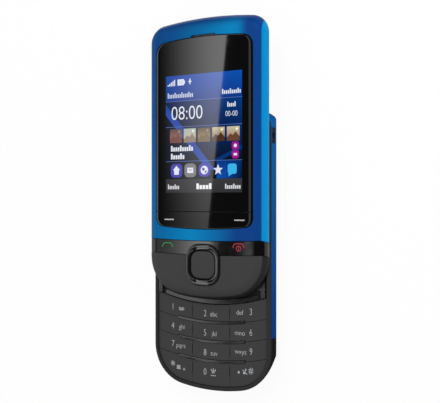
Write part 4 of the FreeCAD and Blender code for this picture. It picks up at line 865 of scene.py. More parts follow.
inside, outside = COLUMN_X - COLUMN_SLIT / 2, COLUMN_X + COLUMN_SLIT / 2
key_field = shrink(PHONE, PAD_INSET + SLIT)
keys = []
for row, names in enumerate(KEY_ROWS, 1):
    top_radius = PAD_RADIUS if row == 1 else ROW_RADIUS
    low = row_line(row) + SLIT / 2 if row < len(KEY_ROWS) else -FAR
    high = row_line(row - 1) - SLIT / 2
    middle = (row_line(row - 1) + row_line(row)) / 2 + COLUMN_X ** 2 / (2 * ROW_RADIUS) + LOWER
    for name, (x0, x1) in zip(names, ((-SIDE, -outside), (-inside, inside), (outside, SIDE))):
        key = plate(f"key_{name}_cap", key_field, KEY_LOW, KEY_FACE, LOWER)
        cell = arc_band("cell", x0, x1, low, ROW_RADIUS, high, top_radius, PAD_DEEP, PAD_CLEAR, LOWER)
        carve(key, cell, how="INTERSECT")
        rooms = [ridge_band("room", r, RIDGE_ROOM, PAD_DEEP, PAD_CLEAR) for r in (row - 1, row)
                 if 0 < r < len(KEY_ROWS)]
        carve(key, groove(-COLUMN_X, middle), groove(COLUMN_X, middle), *rooms)
        soften(key, SHARP_EDGE)
        keys.append(dress(key, key_grey, f"key_{name}", "key_grey", f"key_{name}"))
tally(*keys)

# %% Ridges and top band
RIDGE_LOW, RIDGE_TOP, RIDGE_EDGE = 9.6, 11.65, 0.16
TRIM_HALF, TRIM_LOW, TRIM_TOP, TRIM_EDGE = 19.2, 10.6, 11.5, 0.25
ridges, *others = [soften(ridge_band(f"ridge_{row}", row, 0, RIDGE_LOW, RIDGE_TOP), RIDGE_EDGE, 3)
                   for row in range(1, len(KEY_ROWS))]
for other in others:
    carve(ridges, other, how="UNION")
ridges.name = "ridges"
dress(ridges, ridge_black, "base", "gloss_black", "keypad_ridges")
trim = arc_band("trim", -TRIM_HALF, TRIM_HALF, ROW_TOP + 0.2, PAD_RADIUS, ROW_TOP + 1.9, PAD_RADIUS,
                TRIM_LOW, TRIM_TOP, LOWER)
soften(trim, TRIM_EDGE, 3)
dress(trim, ridge_black, "base", "gloss_black", "keypad_top_trim")
tally(ridges, trim)

# %% [markdown]
# ## Keypad half: back shell and housing
#
# The back is pillow-shaped. Its long flanks roll over a large radius, its top end over a small one, and its
# lower end sweeps up towards the rim in one long curve. At each level the outline is moved in for its ends
# and then held to the width that the flank's roll allows.

# %% Back form
SIDE_ROUND, END_ROUND, WALL = 9.4, 5.0, 1.1
COVER_TOP, RIM_TOP = 10.85, 12.0
END_REACH, END_POWER = 16.0, 1.6
SWEEP_START = 34.0
OUTER_HEIGHTS = (0, 0.03, 0.1, 0.25, 0.45, 0.8, 1.2, 1.7, 2.3, 3.0, 3.8, 4.7, 5.7, 6.8, 7.9, 9.0, 9.9,
                 COVER_TOP)
INNER_HEIGHTS = (COVER_TOP, 9.9, 8.5, 7.0, 5.5, 4.3, 3.2, 2.5, 1.9, 1.5, 1.25, WALL)


def rolled(radius, wall, z):
    """How far a rounded edge of that outer radius lies inside the flank at height z."""
    if z >= radius:
        return wall
    return radius - math.sqrt(max(0.0, (radius - wall) ** 2 - (radius - z) ** 2))


def swept(wall, z):
    """How far the lower end has drawn in at height z."""
    depth = (COVER_TOP - z) / (COVER_TOP - wall)
    return END_REACH * (1 - (1 - depth ** END_POWER) ** (1 / END_POWER))


def back_line(wall, z):
    """The line round the back at height z, or round its inside when it has a wall."""
    limit = PHONE.half - rolled(SIDE_ROUND, wall, z)
    upper, lower = trace(shrink(PHONE, rolled(END_ROUND, wall, z))), trace(shrink(PHONE, wall))
    line = []
    for (x, y), (low_x, low_y) in zip(upper, lower):
        if y < 0:
            x, y = low_x, low_y + swept(wall, z) * min(1, -low_y / SWEEP_START)
        line.append((max(-limit, min(limit, x)), y))
    return line


back = pile("back", [(back_line(0, z), z) for z in OUTER_HEIGHTS] +
            [(back_line(WALL, z), z) for z in INNER_HEIGHTS], LOWER)
tally(back)

# %% Battery cover and end cap
TOP_END = 45.7
COVER_END, REBATE_FLOOR = -29.7 + LOWER, 9.68
CAMERA_Y, GRILLE_Y, CHARGER_Y = 37 + LOWER, 36 + LOWER, 39.8 + LOWER
CAMERA_ROOM, JACK_ROOM, JACK_X, JACK_Z = 3.2, 3.0, 12, 5.5
GRILLE_X, GRILLE_PITCH, GRILLE_HALF = (-13.5, -7.5), 2, 0.4
CHARGER_X, CHARGER_HALF, CHARGER_Z = 17.3, 2.72, (7.58, 10.52)
DATA_X, DATA_HALF, DATA_Z = -11, 3.92, (5.48, 8.62)
BELOW, INSIDE, SPAN = -1, 2, 40


def cylinder(name, radius, x, y, low, high):
    line = disc_line(radius, x, y)
    return pile(name, [(line, low), (line, high)])


cover_side = block("cover_side", -SPAN, SPAN, COVER_END, FAR, BELOW, PAD_CLEAR)
cap_side = block("cap_side", -SPAN, SPAN, -2 * SPAN, COVER_END - SEAM, BELOW, PAD_CLEAR)
cover = carve(copy_of(back, "cover_blue"), cover_side, how="INTERSECT")
cap = carve(copy_of(back, "end_cap"), cap_side, how="INTERSECT")
drop(back)
camera_hole = cylinder("camera_hole", CAMERA_ROOM, 0, CAMERA_Y, BELOW, INSIDE)
grille = [block("grille", *GRILLE_X, y - GRILLE_HALF, y + GRILLE_HALF, BELOW, INSIDE)
          for y in (GRILLE_Y - GRILLE_PITCH, GRILLE_Y, GRILLE_Y + GRILLE_PITCH)]
charger_hole = block("charger_hole", CHARGER_X, SPAN, CHARGER_Y - CHARGER_HALF, CHARGER_Y + CHARGER_HALF,
                     *CHARGER_Z)
data_hole = block("data_hole", DATA_X - DATA_HALF, DATA_X + DATA_HALF, TOP_END + LOWER, FAR, *DATA_Z)
jack_hole = cylinder("jack_hole", JACK_ROOM, JACK_X, JACK_Z, TOP_END, FAR)
for vertex in jack_hole.data.vertices:
    x, z, y = vertex.co
    vertex.co = (x, y + LOWER * MM, z)
jack_hole.data.flip_normals()
carve(cover, camera_hole, *grille, data_hole, jack_hole)
carve(cover, charger_hole, keep=True)
carve(cap, plate("rebate", shrink(PHONE, WALL), REBATE_FLOOR, PAD_CLEAR, LOWER))
dress(soften(cover, PART_EDGE), paint_cover, "base", "blue_paint", "battery_cover")
dress(soften(cap, PART_EDGE), cap_grey, "base", "soft_grey", "rear_end_cap")
tally(cover, cap)

# %% Camera eye


def turned(name, *profile):
    """A solid turned on the camera's axis, from (radius, height) pairs."""
    return pile(name, [(disc_line(radius, 0, CAMERA_Y, 64), z) for radius, z in profile])


glass = turned("camera_glass", (2.9, 0.2), (3.05, 0.3), (3.1, 0.85))
carve(glass, turned("lens_seat", (1.75, 0.1), (1.2, 0.6)))
eye = turned("camera_eye", (0.01, 0.3), (0.4, 0.31), (0.8, 0.36), (1.1, 0.44), (1.15, 0.8))
washer = turned("camera_washer", (3.02, 0.12), (3.1, 0.16), (3.1, 0.34))
carve(washer, turned("washer_bore", (2.7, 0.05), (2.6, 0.5)))
dress(soften(glass, 0), glass_black, "base", "lens_glass", "camera_lens")
dress(soften(eye, 0), SLOTS["lens_glass"], "base", "lens_glass")
dress(soften(washer, 0), SLOTS["steel"], "base", "steel")
tally(glass, eye, washer)

# %% Front housing
RIM_ROUND, RIM_STEPS = 0.7, 6
SKIRT_INSET, SKIRT_LOW, OPENING_INSET = 1.22, 9.8, 2.4
TROUGH_FLOOR, WELL_FLOOR, CLEAR = 10.6, 10.05, 14


def below_pad(name, inset, low):
    """The keypad's field, that far inside the outline and down to that height."""
    cut = plate(name, shrink(PHONE, inset), low, CLEAR, LOWER)
    reach = arc_band("reach", -SPAN, SPAN, -70, PAD_RADIUS, ROW_TOP, PAD_RADIUS, DEEP, CLEAR + 1, LOWER)
    return carve(cut, reach, how="INTERSECT")


rim = [(trace(PHONE), COVER_TOP)]
for step in range(RIM_STEPS + 1):
    turn = math.radians(90 * step / RIM_STEPS)
    rim.append((trace(shrink(PHONE, RIM_ROUND * (1 - math.cos(turn)))),
                RIM_TOP - RIM_ROUND * (1 - math.sin(turn))))
housing = pile("housing", rim, LOWER)
skirt = plate("skirt", shrink(PHONE, SKIRT_INSET), SKIRT_LOW, COVER_TOP + 0.01, LOWER)
carve(housing, skirt, how="UNION")
trough = plate("trough", shrink(PHONE, PAD_INSET), TROUGH_FLOOR, CLEAR, LOWER)
carve(trough, arc_band("reach", -SPAN, SPAN, ROW_TOP, PAD_RADIUS, FAR, 300, DEEP, CLEAR + 1, LOWER),
      how="INTERSECT")
carve(housing, trough, below_pad("well", PAD_INSET, WELL_FLOOR), below_pad("opening", OPENING_INSET, DEEP),
      charger_hole)
soften(housing, PART_EDGE)
dress(housing, housing_grey, "base", "soft_grey", "keypad_housing")
tally(housing)

# %% [markdown]
# ## Printed marks
#
# The digits of a column stand one below the other, with small letters beside them. Real legends are a thin
# print, so each one is text or a stroke turned into a mesh a few hundredths of a millimetre thick.

# %% Print tools
PRINT = 0.02
CAPITALS = 0.73


def lettering(name, text, x, y, height, z, narrow=0.8, weight=-0.05):
    """Text with capitals of that height, centred, as a thin solid; a greater weight gives bolder strokes."""
    data = bpy.data.curves.new(name, "FONT")
    data.body, data.align_x = text, "CENTER"
    data.size, data.offset = height / CAPITALS, weight
    data.extrude = PRINT / 2
    writing = in_scene(name, data)
    piece = in_scene(name, plain_mesh(writing))
    for vertex in piece.data.vertices:
        across_x, along_y, up_z = vertex.co
        vertex.co = in_metres(across_x * narrow + x, along_y + y - height / 2, up_z + z + PRINT / 2)
    drop(writing)
    return piece


def ribbon(points, width, z0, closed=False):
    """A stroke of even width along a line, as thick as the print."""
    count = len(points)
    corners, faces = [], []
    for i, (x, y) in enumerate(points):
        before = points[i - 1] if closed or i else points[0]
        after = points[(i + 1) % count] if closed else points[min(i + 1, count - 1)]
        along = Vector((after[0] - before[0], after[1] - before[1])).normalized() * width / 2
        for side, z in ((-1, z0), (1, z0), (1, z0 + PRINT), (-1, z0 + PRINT)):
            corners.append((x + side * along.y, y - side * along.x, z))
    for i in range(count if closed else count - 1):
        here, there = 4 * i, 4 * ((i + 1) % count)
        faces += [[here + (k + 1) % 4, here + k, there + k, there + (k + 1) % 4] for k in range(4)]
    if not closed:
        faces += [[0, 1, 2, 3], [4 * count - 1 - k for k in range(4)]]
    return new_object("ribbon", corners, faces)


def join(name, *pieces):
    """One mesh from several."""
    points, faces = [], []
    for piece in pieces:
        first = len(points)
        points += [tuple(v.co / MM) for v in piece.data.vertices]
        faces += [[first + i for i in face.vertices] for face in piece.data.polygons]
    drop(*pieces)
    return new_object(name, points, faces)


print("print tools ready")

# %% Marks beside the figures


def stroke(*points, width=0.24, closed=False):
    return ribbon(points, width, KEY_FACE, closed)


def circle_stroke(x, y, radius, width=0.22):
    return stroke(*disc_line(radius, x, y, 16), width=width, closed=True)


marks = {
    "1": [circle_stroke(-13.0, -37.85, 0.42), circle_stroke(-11.8, -37.85, 0.42),
          stroke((-13.0, -38.3), (-11.8, -38.3))],
    "star": [
        stroke((-14.3, -58.5), (-13.0, -58.5), (-13.0, -59.7), (-14.3, -59.7), width=0.3, closed=True),
        stroke((-14.0, -59.1), (-13.3, -59.1), width=0.6),
        stroke((-11.8, -59.7), (-10.8, -59.7)), stroke((-11.3, -59.25), (-11.3, -60.15)),
    ],
    "0": [
        stroke((0.0, -58.4), (0.3, -59.0), (1.0, -59.3), (1.7, -59.0), (2.0, -58.4)),
        stroke((1.0, -58.1), (1.0, -59.7), width=0.3), stroke((0.4, -59.7), (1.6, -59.7)),
        stroke((0.1, -60.4), (0.1, -60.7), (1.9, -60.7), (1.9, -60.4), width=0.2),
    ],
    "hash": [
        stroke((13.9, -56.9), (13.9, -58.3)), stroke((13.9, -56.9), (14.5, -57.4)),
        circle_stroke(13.5, -58.35, 0.25, 0.4), stroke((12.8, -57.4), (14.6, -58.8)),
        circle_stroke(11.3, -58.4, 0.25, 0.3),
    ],
}
print("marks for keys", list(marks))

# %% Key legends
DIGIT_HEIGHT, LETTER_HEIGHT = 2.4, 1.8
ARM = 1.05
HASH_X, HASH_Y, HASH_WIDE, HASH_TALL, HASH_LEAN = 0.35, 0.38, 0.95, 1.1, 0.15
DIGITS = {
    "1": (-16.1, -37.2), "2": (-2.4, -38.7), "3": (16.1, -37.0),
    "4": (-16.1, -44.1), "5": (-2.4, -45.6), "6": (16.1, -44.1),
    "7": (-16.1, -50.6), "8": (-2.4, -52.6), "9": (16.1, -50.7),
    "star": (-16.1, -57.9), "0": (-2.4, -59.5), "hash": (16.1, -57.5),
}
LETTERS = {
    "2": ("abc", 3.6, -0.15), "3": ("def", -4.4, -0.5), "4": ("ghi", 3.9, -0.2), "5": ("jkl", 3.8, -0.15),
    "6": ("mno", -4.4, -0.5), "7": ("pqrs", 3.4, -0.5), "8": ("tuv", 3.7, -0.1), "9": ("wxyz", -4.0, -0.4),
}


def through(x, y, dx, dy):
    """A stroke through a point, reaching as far on either side."""
    return stroke((x - dx, y - dy), (x + dx, y + dy))


def figure(name, x, y):
    """The strokes of a key's own sign."""
    if name == "star":
        turns = [math.radians(turn) for turn in (90, 30, -30)]
        return [through(x, y, ARM * math.cos(turn), ARM * math.sin(turn)) for turn in turns]
    if name == "hash":
        return ([through(x + dx, y, HASH_LEAN, HASH_TALL) for dx in (-HASH_X, HASH_X)]
                + [through(x, y + dy, HASH_WIDE, 0) for dy in (-HASH_Y, HASH_Y)])
    return [lettering("digit", name, x, y, DIGIT_HEIGHT, KEY_FACE)]


for name, (x, y) in DIGITS.items():
    parts = marks.get(name, []) + figure(name, x, y)
    if name in LETTERS:
        letters, aside, below = LETTERS[name]
        parts.append(lettering("letters", letters, x + aside, y + below, LETTER_HEIGHT, KEY_FACE,
                               narrow=0.92, weight=-0.03))
    dress(join(f"key_{name}_legend", *parts), legend_grey, f"key_{name}", "white_plastic")
print("legends", len(DIGITS))

# %% Marks on the soft and call keys
END_X, END_Y = 14.2, -15.05
ARCH = ((-2.1, -0.85), (-2.05, -0.15), (-1.6, 0.4), (-0.8, 0.65), (0.8, 0.65), (1.6, 0.4), (2.05, -0.15),
        (2.1, -0.85))


def handset(x, y):
    """An arch with two feet, the plain sign for a telephone receiver."""
    return ribbon([(x + dx, y + dy) for dx, dy in ARCH], 0.36, FACE)


dashes = [ribbon([(x, -5.4), (x + 4.0, -5.4)], 0.42, WINDOW_FACE) for x in (-16.1, 12.6)]
dress(join("soft_key_marks", *dashes), dash_silver, "soft_keys", "white_plastic")
dress(join("call_mark", handset(-14.85, -14.4)), handset_green, "call_keys", "white_plastic")
power = ribbon(disc_line(0.85, END_X, END_Y, 20), 0.32, FACE, closed=True)
bar = ribbon([(END_X, END_Y + 0.45), (END_X, END_Y - 0.4)], 0.3, FACE)
dress(join("end_mark", handset(END_X, -14.0), power, bar), handset_red, "call_keys", "white_plastic")
print("marks ready")

# %% [markdown]
# ## The picture on the display
#
# The picture is a start screen drawn from flat patches: bands of blue, two plain light stripes, a clock, five
# small landscapes and five plain icons. Words are shown as rows of small blocks, the way a typesetter marks
# text that is still to come. Each patch is a very thin solid, and a higher layer covers a lower one.

# %% Picture tools
LAYER = 0.008
BLOCK_GAP, SHORT = 0.25, 0.7
picture = {"points": [], "faces": [], "tints": []}


def patch(layer, points, *tints):
    """A flat patch; its tints go round its points, or one serves them all."""
    count, first = len(points), len(picture["points"])
    for z in (WINDOW_FACE, WINDOW_FACE + LAYER * layer):
        picture["points"] += [(x, y, z) for x, y in points]
        picture["tints"] += [shade(*tints[i % len(tints)]) for i in range(count)]
    ends = [list(reversed(range(count))), list(range(count, 2 * count))]
    picture["faces"] += [[first + i for i in face] for face in ends + walls(2, count)]


def field(layer, x0, x1, y0, y1, *tints):
    patch(layer, rectangle(x0, x1, y0, y1), *tints)


def spot(layer, x, y, radius, tint):
    patch(layer, disc_line(radius, x, y, 20), tint)


def cushion(layer, x, y, half, corner, tint):
    """A square with rounded corners."""
    line = []
    for turn, (right, up) in enumerate(((1, 1), (-1, 1), (-1, -1), (1, -1))):
        for step in range(5):
            angle = math.radians(90 * turn + 22.5 * step)
            line.append((x + right * (half - corner) + corner * math.cos(angle),
                         y + up * (half - corner) + corner * math.sin(angle)))
    patch(layer, line, tint)


def stamp(layer, piece, tint):
    """Adds lettering or a stroke to the picture."""
    first = len(picture["points"])
    top = max(v.co.z for v in piece.data.vertices)
    for vertex in piece.data.vertices:
        x, y, z = vertex.co
        height = LAYER * layer if z > top - 0.5 * PRINT * MM else 0
        picture["points"].append((x / MM, y / MM, WINDOW_FACE + height))
        picture["tints"].append(shade(*tint))
    picture["faces"] += [[first + i for i in face.vertices] for face in piece.data.polygons]
    drop(piece)


def words(x0, x1, y, height, tint, block_width=0.5):
    """A row of small blocks in place of a word; every fourth one is tall."""
    count = max(1, round((x1 - x0) / (block_width + BLOCK_GAP)))
    pitch = (x1 - x0) / count
    for i in range(count):
        tall = height if i % 4 == 0 else height * SHORT
        x, low = x0 + i * pitch, y - height / 2
        field(3, x, x + pitch - BLOCK_GAP, low, low + tall, tint)


print("picture tools ready")

# %% The bands and the status line
LEFT, RIGHT, TOP, FOOT = -15.5, 15.64, 45.7, 4.1
CLOCK_LINE, HILLS_LINE, ICONS_LINE, KEYS_LINE = 36.6, 27.45, 15.2, 8.9
WHITE, LINE, PALE = (236, 240, 250), (92, 122, 196), (226, 228, 232)
LOW_L, LOW_R, NIGHT = (8, 12, 24), (0, 44, 104), (2, 8, 24)
STEEL_LOW, BEAM, BEAM_LOW = (50, 50, 53), (48, 80, 172), (34, 74, 168)
for low, high, *tints in (
        (CLOCK_LINE, TOP, (10, 56, 140), (10, 56, 140), (12, 82, 180), (22, 74, 170)),
        (HILLS_LINE, CLOCK_LINE, NIGHT, (2, 38, 96), (0, 58, 130), (0, 26, 78)),
        (ICONS_LINE, HILLS_LINE, NIGHT, LOW_L, LOW_R, LOW_L),
        (KEYS_LINE, ICONS_LINE, NIGHT, NIGHT, NIGHT, LOW_L),
        (FOOT, KEYS_LINE, STEEL_LOW, STEEL_LOW, (60, 60, 63), (56, 56, 59))):
    field(1, LEFT, RIGHT, low, high, *tints)
patch(2, [(LEFT, 35.6), (LEFT, 31.8), (1.74, 12.0), (5.05, 12.0)], (16, 70, 168), BEAM, BEAM_LOW, BEAM_LOW)
patch(2, [(4.0, ICONS_LINE), (7.4, ICONS_LINE), (RIGHT, 18.9), (RIGHT, 20.4)], (0, 52, 122))
field(2, 5.6, RIGHT, 8.95, 15.12, (10, 84, 186), (2, 14, 40), (0, 40, 100), (0, 60, 140))
for y in (CLOCK_LINE, HILLS_LINE, ICONS_LINE):
    field(3, LEFT, RIGHT, y - 0.08, y + 0.08, LINE)
for x in (3.2, 9.0):
    field(3, x, x + 0.1, 9.3, 15.0, (30, 90, 180))

for step in range(5):
    x = LEFT + 0.8 + 0.68 * step
    field(3, x, x + 0.44, 42.1, 42.6 + 0.42 * step, WHITE)
field(3, -10.5, -7.8, 42.15, 44.3, WHITE)
for x in (-9.75, -9.05, -8.35):
    field(4, x, x + 0.12, 42.5, 43.95, (120, 144, 210))
field(3, -7.8, -7.4, 42.7, 43.75, WHITE)
stamp(3, ribbon([(-5.9, 43.3), (-4.7, 43.3)], 0.45, 0), WHITE)
stamp(3, ribbon([(-5.3, 42.3), (-5.3, 44.3)], 0.4, 0), WHITE)
print("patches so far", len(picture["faces"]))

# %% Clock, words and landscapes
PICTURE_WIDTH, PICTURE_LOW, PICTURE_HIGH = 5.0, 21.8, 26.7
HILLS = ((0, 0), (5.0, 0), (5.0, 1.4), (3.4, 3.1), (2.4, 1.9), (1.4, 2.5), (0, 1.1))
LANDSCAPES = (((98, 78, 74), (176, 112, 104)), ((176, 190, 176), (214, 184, 164)),
              ((96, 78, 58), (176, 148, 104)), ((206, 192, 160), (112, 72, 44)),
              ((206, 198, 170), (158, 100, 74)))
words(-14.7, -3.8, 38.7, 1.9, (206, 214, 236))
words(7.8, 15.4, 38.8, 1.7, WHITE)
stamp(3, lettering("clock", "08:00", -6.6, 32.5, 5.0, 0, narrow=0.88, weight=-0.06), WHITE)
words(9.9, 13.4, 34.3, 1.7, WHITE)
stamp(3, lettering("date", "00-00", 11.5, 31.2, 1.9, 0, weight=-0.02), WHITE)
for i, (sky, ground) in enumerate(LANDSCAPES):
    x = -13.7 + 5.85 * i
    field(3, x, x + PICTURE_WIDTH, PICTURE_LOW, PICTURE_HIGH, ground, ground, sky, sky)
    patch(4, [(x + dx, PICTURE_LOW + dy) for dx, dy in HILLS], tuple(int(c * 0.7) for c in ground))
    spot(4, x + 3.9, 25.8, 0.45, tuple(min(255, c + 60) for c in sky))
words(-13.3, -3.8, 19.8, 2.0, WHITE, 0.7)
words(-13.3, -7.4, 17.0, 2.0, WHITE, 0.7)
for y in (20.1, 17.06):
    cushion(3, 13.04, y, 1.38, 0.8, (166, 24, 152))
spot(4, 13.04, 20.1, 0.6, WHITE)
field(4, 12.4, 13.7, 16.7, 17.5, WHITE)
print("patches so far", len(picture["faces"]))

# %% The icons
INDIGO, MID_GREY, BUBBLE = (74, 70, 178), (128, 128, 130), (64, 186, 240)
cushion(3, -10.95, 11.95, 2.45, 1.5, INDIGO)
field(4, -11.95, -9.95, 10.5, 12.1, WHITE)
patch(4, [(-12.5, 12.1), (-9.4, 12.1), (-10.95, 13.7)], WHITE)
cushion(3, -5.15, 11.95, 2.45, 1.5, MID_GREY)
field(4, -6.4, -3.9, 11.0, 12.9, WHITE)
patch(5, [(-6.2, 12.7), (-5.15, 11.7), (-4.1, 12.7), (-5.15, 12.1)], MID_GREY)
cushion(3, 0.65, 11.95, 2.3, 1.5, INDIGO)
spot(4, 0.65, 11.95, 1.5, WHITE)
patch(5, [(-0.1, 12.9), (0.9, 12.5), (0.5, 11.6), (-0.3, 11.9)], INDIGO)
patch(5, [(0.9, 11.6), (1.7, 11.9), (1.4, 11.1), (0.8, 10.8)], INDIGO)
star = []
for i in range(10):
    reach, turn = (2.0 if i % 2 == 0 else 0.85), math.radians(90 + 36 * i)
    star.append((6.2 + reach * math.cos(turn), 11.9 + reach * math.sin(turn)))
patch(4, star, WHITE)
cushion(4, 11.8, 12.2, 1.75, 0.8, BUBBLE)
patch(4, [(10.4, 10.7), (10.3, 9.6), (12.0, 10.5), (12.0, 11.0)], BUBBLE)
words(-14.6, -9.6, 6.2, 1.7, PALE)
words(-2.6, 3.8, 6.3, 2.0, (250, 250, 252), 0.95)
words(9.0, 15.3, 6.2, 1.7, PALE)

screen = new_object("picture", picture["points"], picture["faces"])
colours = screen.data.color_attributes.new("tint", "FLOAT_COLOR", "POINT")
for vertex, tint in enumerate(picture["tints"]):
    colours.data[vertex].color = tint
dress(screen, screen_light, "display", "lcd_glass")
tally(screen)

# %% [markdown]
# ## Parts that repeat
#
# A woven cloth is one thin rod, repeated both ways, and a pair of screws is one screw, repeated. Geometry
# Nodes builds them from a recipe: a row of points, an instance on each, and at the end real geometry with a
# material. The inputs have names, so that one recipe serves several pieces.

# %% Recipe tools
NUMBER, PLACE = "NodeSocketFloat", "NodeSocketVector"
ROW = {"Count": "NodeSocketInt", "Start": PLACE, "Step": PLACE, "Material": "NodeSocketMaterial"}


def new_recipe(name, **inputs):
    """A geometry recipe; its inputs are the row's and more, by name and socket type."""
    tree = bpy.data.node_groups.new(name, "GeometryNodeTree")
    for label, kind in {**ROW, **inputs}.items():
        tree.interface.new_socket(name=label, in_out="INPUT", socket_type=kind)
    tree.interface.new_socket(name="Geometry", in_out="OUTPUT", socket_type="NodeSocketGeometry")
    return tree, tree.nodes.new("NodeGroupInput").outputs, tree.nodes.new("NodeGroupOutput").inputs


def step_of(tree, kind, **values):
    """The first output of a new geometry node."""
    return node(tree, "GeometryNode" + kind, **values).outputs[0]


def repeat(tree, start, end, shape, turn=(0, 0, 0)):
    """Puts the shape on a row of points, makes it real and gives it the material."""
    row = step_of(tree, "MeshLine", Count=start["Count"], Start_Location=start["Start"],
                  Offset=start["Step"])
    spots = step_of(tree, "InstanceOnPoints", Points=row, Instance=shape, Rotation=turn)
    real = step_of(tree, "RealizeInstances", Geometry=spots)
    painted = step_of(tree, "SetMaterial", Geometry=real, Material=start["Material"])
    tree.links.new(painted, end["Geometry"])


def bake(name, tree, **values):
    """Runs a recipe and keeps its mesh."""
    holder = new_object(name, [(0, 0, 0), (1, 0, 0), (0, 1, 0)], [[0, 1, 2]])
    recipe = holder.modifiers.new("recipe", "NODES")
    recipe.node_group = tree
    for socket in tree.interface.items_tree:
        if socket.in_out == "INPUT":
            recipe[socket.identifier] = values[socket.name]
    return settle(holder)


print("recipe tools ready")

# %% Woven cloth
rods, start, end = new_recipe("rods", Length=NUMBER, Radius=NUMBER, Turn=PLACE)
rod = step_of(rods, "MeshCylinder", Radius=start["Radius"], Depth=start["Length"], Vertices=8)
repeat(rods, start, end, rod, start["Turn"])


def cloth(name, sheet, x0, x1, y0, y1, z, pitch, radius, material):
    """Wires both ways, joined to a thin backing sheet."""
    quarter = math.pi / 2
    columns, rows = int((x1 - x0) / pitch), max(2, int((y1 - y0) / pitch))
    upright = bake("upright", rods, Material=material, Count=columns,
                   Start=in_metres(x0 + pitch / 2, (y0 + y1) / 2, z),
                   Step=in_metres((x1 - x0 - pitch) / (columns - 1), 0, 0),
                   Length=(y1 - y0) * MM, Radius=radius * MM, Turn=(quarter, 0, 0))
    level = bake("level", rods, Material=material, Count=rows,
                 Start=in_metres((x0 + x1) / 2, y0 + radius, z + radius),
                 Step=in_metres(0, (y1 - y0 - 2 * radius) / (rows - 1), 0),
                 Length=(x1 - x0) * MM, Radius=radius * MM, Turn=(0, quarter, 0))
    return join(name, block("backing", x0, x1, y0, y1, *sheet), upright, level)


sheet_steel = SLOTS["steel"]
ear = cloth("earpiece_cloth", (15.1, 16.05), -4.85, 4.85, 42.67 + UPPER, 43.13 + UPPER, z=16.1, pitch=0.22,
            radius=0.05, material=sheet_steel)
dress(ear, sheet_steel, "display", "steel", "earpiece_mesh")
grid = cloth("speaker_cloth", (1.32, 1.42), -14.1, -6.9, GRILLE_Y - 3, GRILLE_Y + 3, z=1.22, pitch=0.4,
             radius=0.08, material=speaker_black)
dress(grid, speaker_black, "base", "steel")
tally(ear, grid)

# %% Screws
HEAD_RADIUS, HEAD_HEIGHT, HEAD_EDGE, SHANK_RADIUS = 1.3, 0.5, 0.06, 0.7
SCREW_X, SCREW_Y, SCREW_LOW = 17, 39 + UPPER, 12.55
screws, start, end = new_recipe("pan_head_screws", **{"Head Radius": NUMBER, "Head Height": NUMBER,
                                                      "Shank Length": NUMBER})
head_height, shank_length = start["Head Height"], start["Shank Length"]
head = step_of(screws, "MeshCylinder", Radius=start["Head Radius"], Depth=head_height, Vertices=40)
below = node(screws, "ShaderNodeCombineXYZ", Z=reckon(screws, "MULTIPLY", head_height, -0.5)).outputs[0]
cut_head = step_of(screws, "MeshBoolean", Mesh_1=head)
for size in ((1.7, 0.32, 0.3), (0.32, 1.7, 0.3)):
    slit = step_of(screws, "MeshCube", Size=in_metres(*size))
    lowered = step_of(screws, "Transform", Geometry=slit, Translation=below)
    screws.links.new(lowered, cut_head.node.inputs["Mesh 2"])
shank = step_of(screws, "MeshCylinder", Depth=shank_length, Vertices=24, Radius=SHANK_RADIUS * MM)
half_way = reckon(screws, "MULTIPLY", reckon(screws, "ADD", head_height, shank_length), 0.5)
above = node(screws, "ShaderNodeCombineXYZ", Z=half_way).outputs[0]
raised = step_of(screws, "Transform", Geometry=shank, Translation=above)
whole = step_of(screws, "JoinGeometry", Geometry=cut_head)
screws.links.new(raised, whole.node.inputs["Geometry"])
repeat(screws, start, end, whole)

low_corner, high_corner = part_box("upper_screws")
print("upper screws reach", in_millimetres((low_corner, high_corner)))
pair = bake("upper_screw_pair", screws, Material=sheet_steel, Count=2, Step=in_metres(2 * SCREW_X, 0, 0),
            Start=in_metres(-SCREW_X, SCREW_Y, SCREW_LOW + HEAD_HEIGHT / 2),
            **{"Head Radius": HEAD_RADIUS * MM, "Head Height": HEAD_HEIGHT * MM,
               "Shank Length": high_corner[2] - low_corner[2] - HEAD_HEIGHT * MM})
soften(pair, HEAD_EDGE)
dress(pair, sheet_steel, "display", "steel", "upper_screws")
tally(pair)

# %% [markdown]
# ## The stage
#
# The phone lies on a white table. The table shows white to the camera and in reflections but keeps a little
# of the phone's shadow. Two soft boxes light the phone and stay out of its reflections. What the glossy parts
# mirror is set apart from that: glowing panels overhead that only reflections see, each where one part looks.

# %% Floor
FLOOR_HALF, FLOOR_DROP, SHOWN_WHITE = 6000, 0.05, 0.94


def sheet(name, corners, z, material):
    """A flat sheet of the stage."""
    mesh = bpy.data.meshes.new(name)
    mesh.from_pydata([in_metres(x, y, z) for x, y in corners], [], [(0, 1, 2, 3)])
    mesh.materials.append(material)
    thing = in_scene(name, mesh)
    return thing


def largest(tree, first, *others):
    for other in others:
        first = reckon(tree, "MAXIMUM", first, other)
    return first


def grey(level):
    return (level, level, level, 1)


floor_material, tree, shader = new_material("floor_white", grey(0.85), 0.9)
rays = node(tree, "ShaderNodeLightPath").outputs
seen = largest(tree, rays["Is Camera Ray"], rays["Is Glossy Ray"], rays["Is Transmission Ray"])
glow = node(tree, "ShaderNodeEmission", Color=grey(1)).outputs[0]
blend = node(tree, "ShaderNodeMixShader")
lit = tree.nodes["Principled BSDF"].outputs[0]
for value, socket in zip((reckon(tree, "MULTIPLY", seen, SHOWN_WHITE), lit, glow), blend.inputs):
    tree.links.new(value, socket)
tree.links.new(blend.outputs[0], tree.nodes["Material Output"].inputs["Surface"])
floor = sheet("floor", rectangle(-FLOOR_HALF, FLOOR_HALF, -FLOOR_HALF, FLOOR_HALF), 0, floor_material)
floor.location.z = -FLOOR_DROP * MM
print("floor laid")

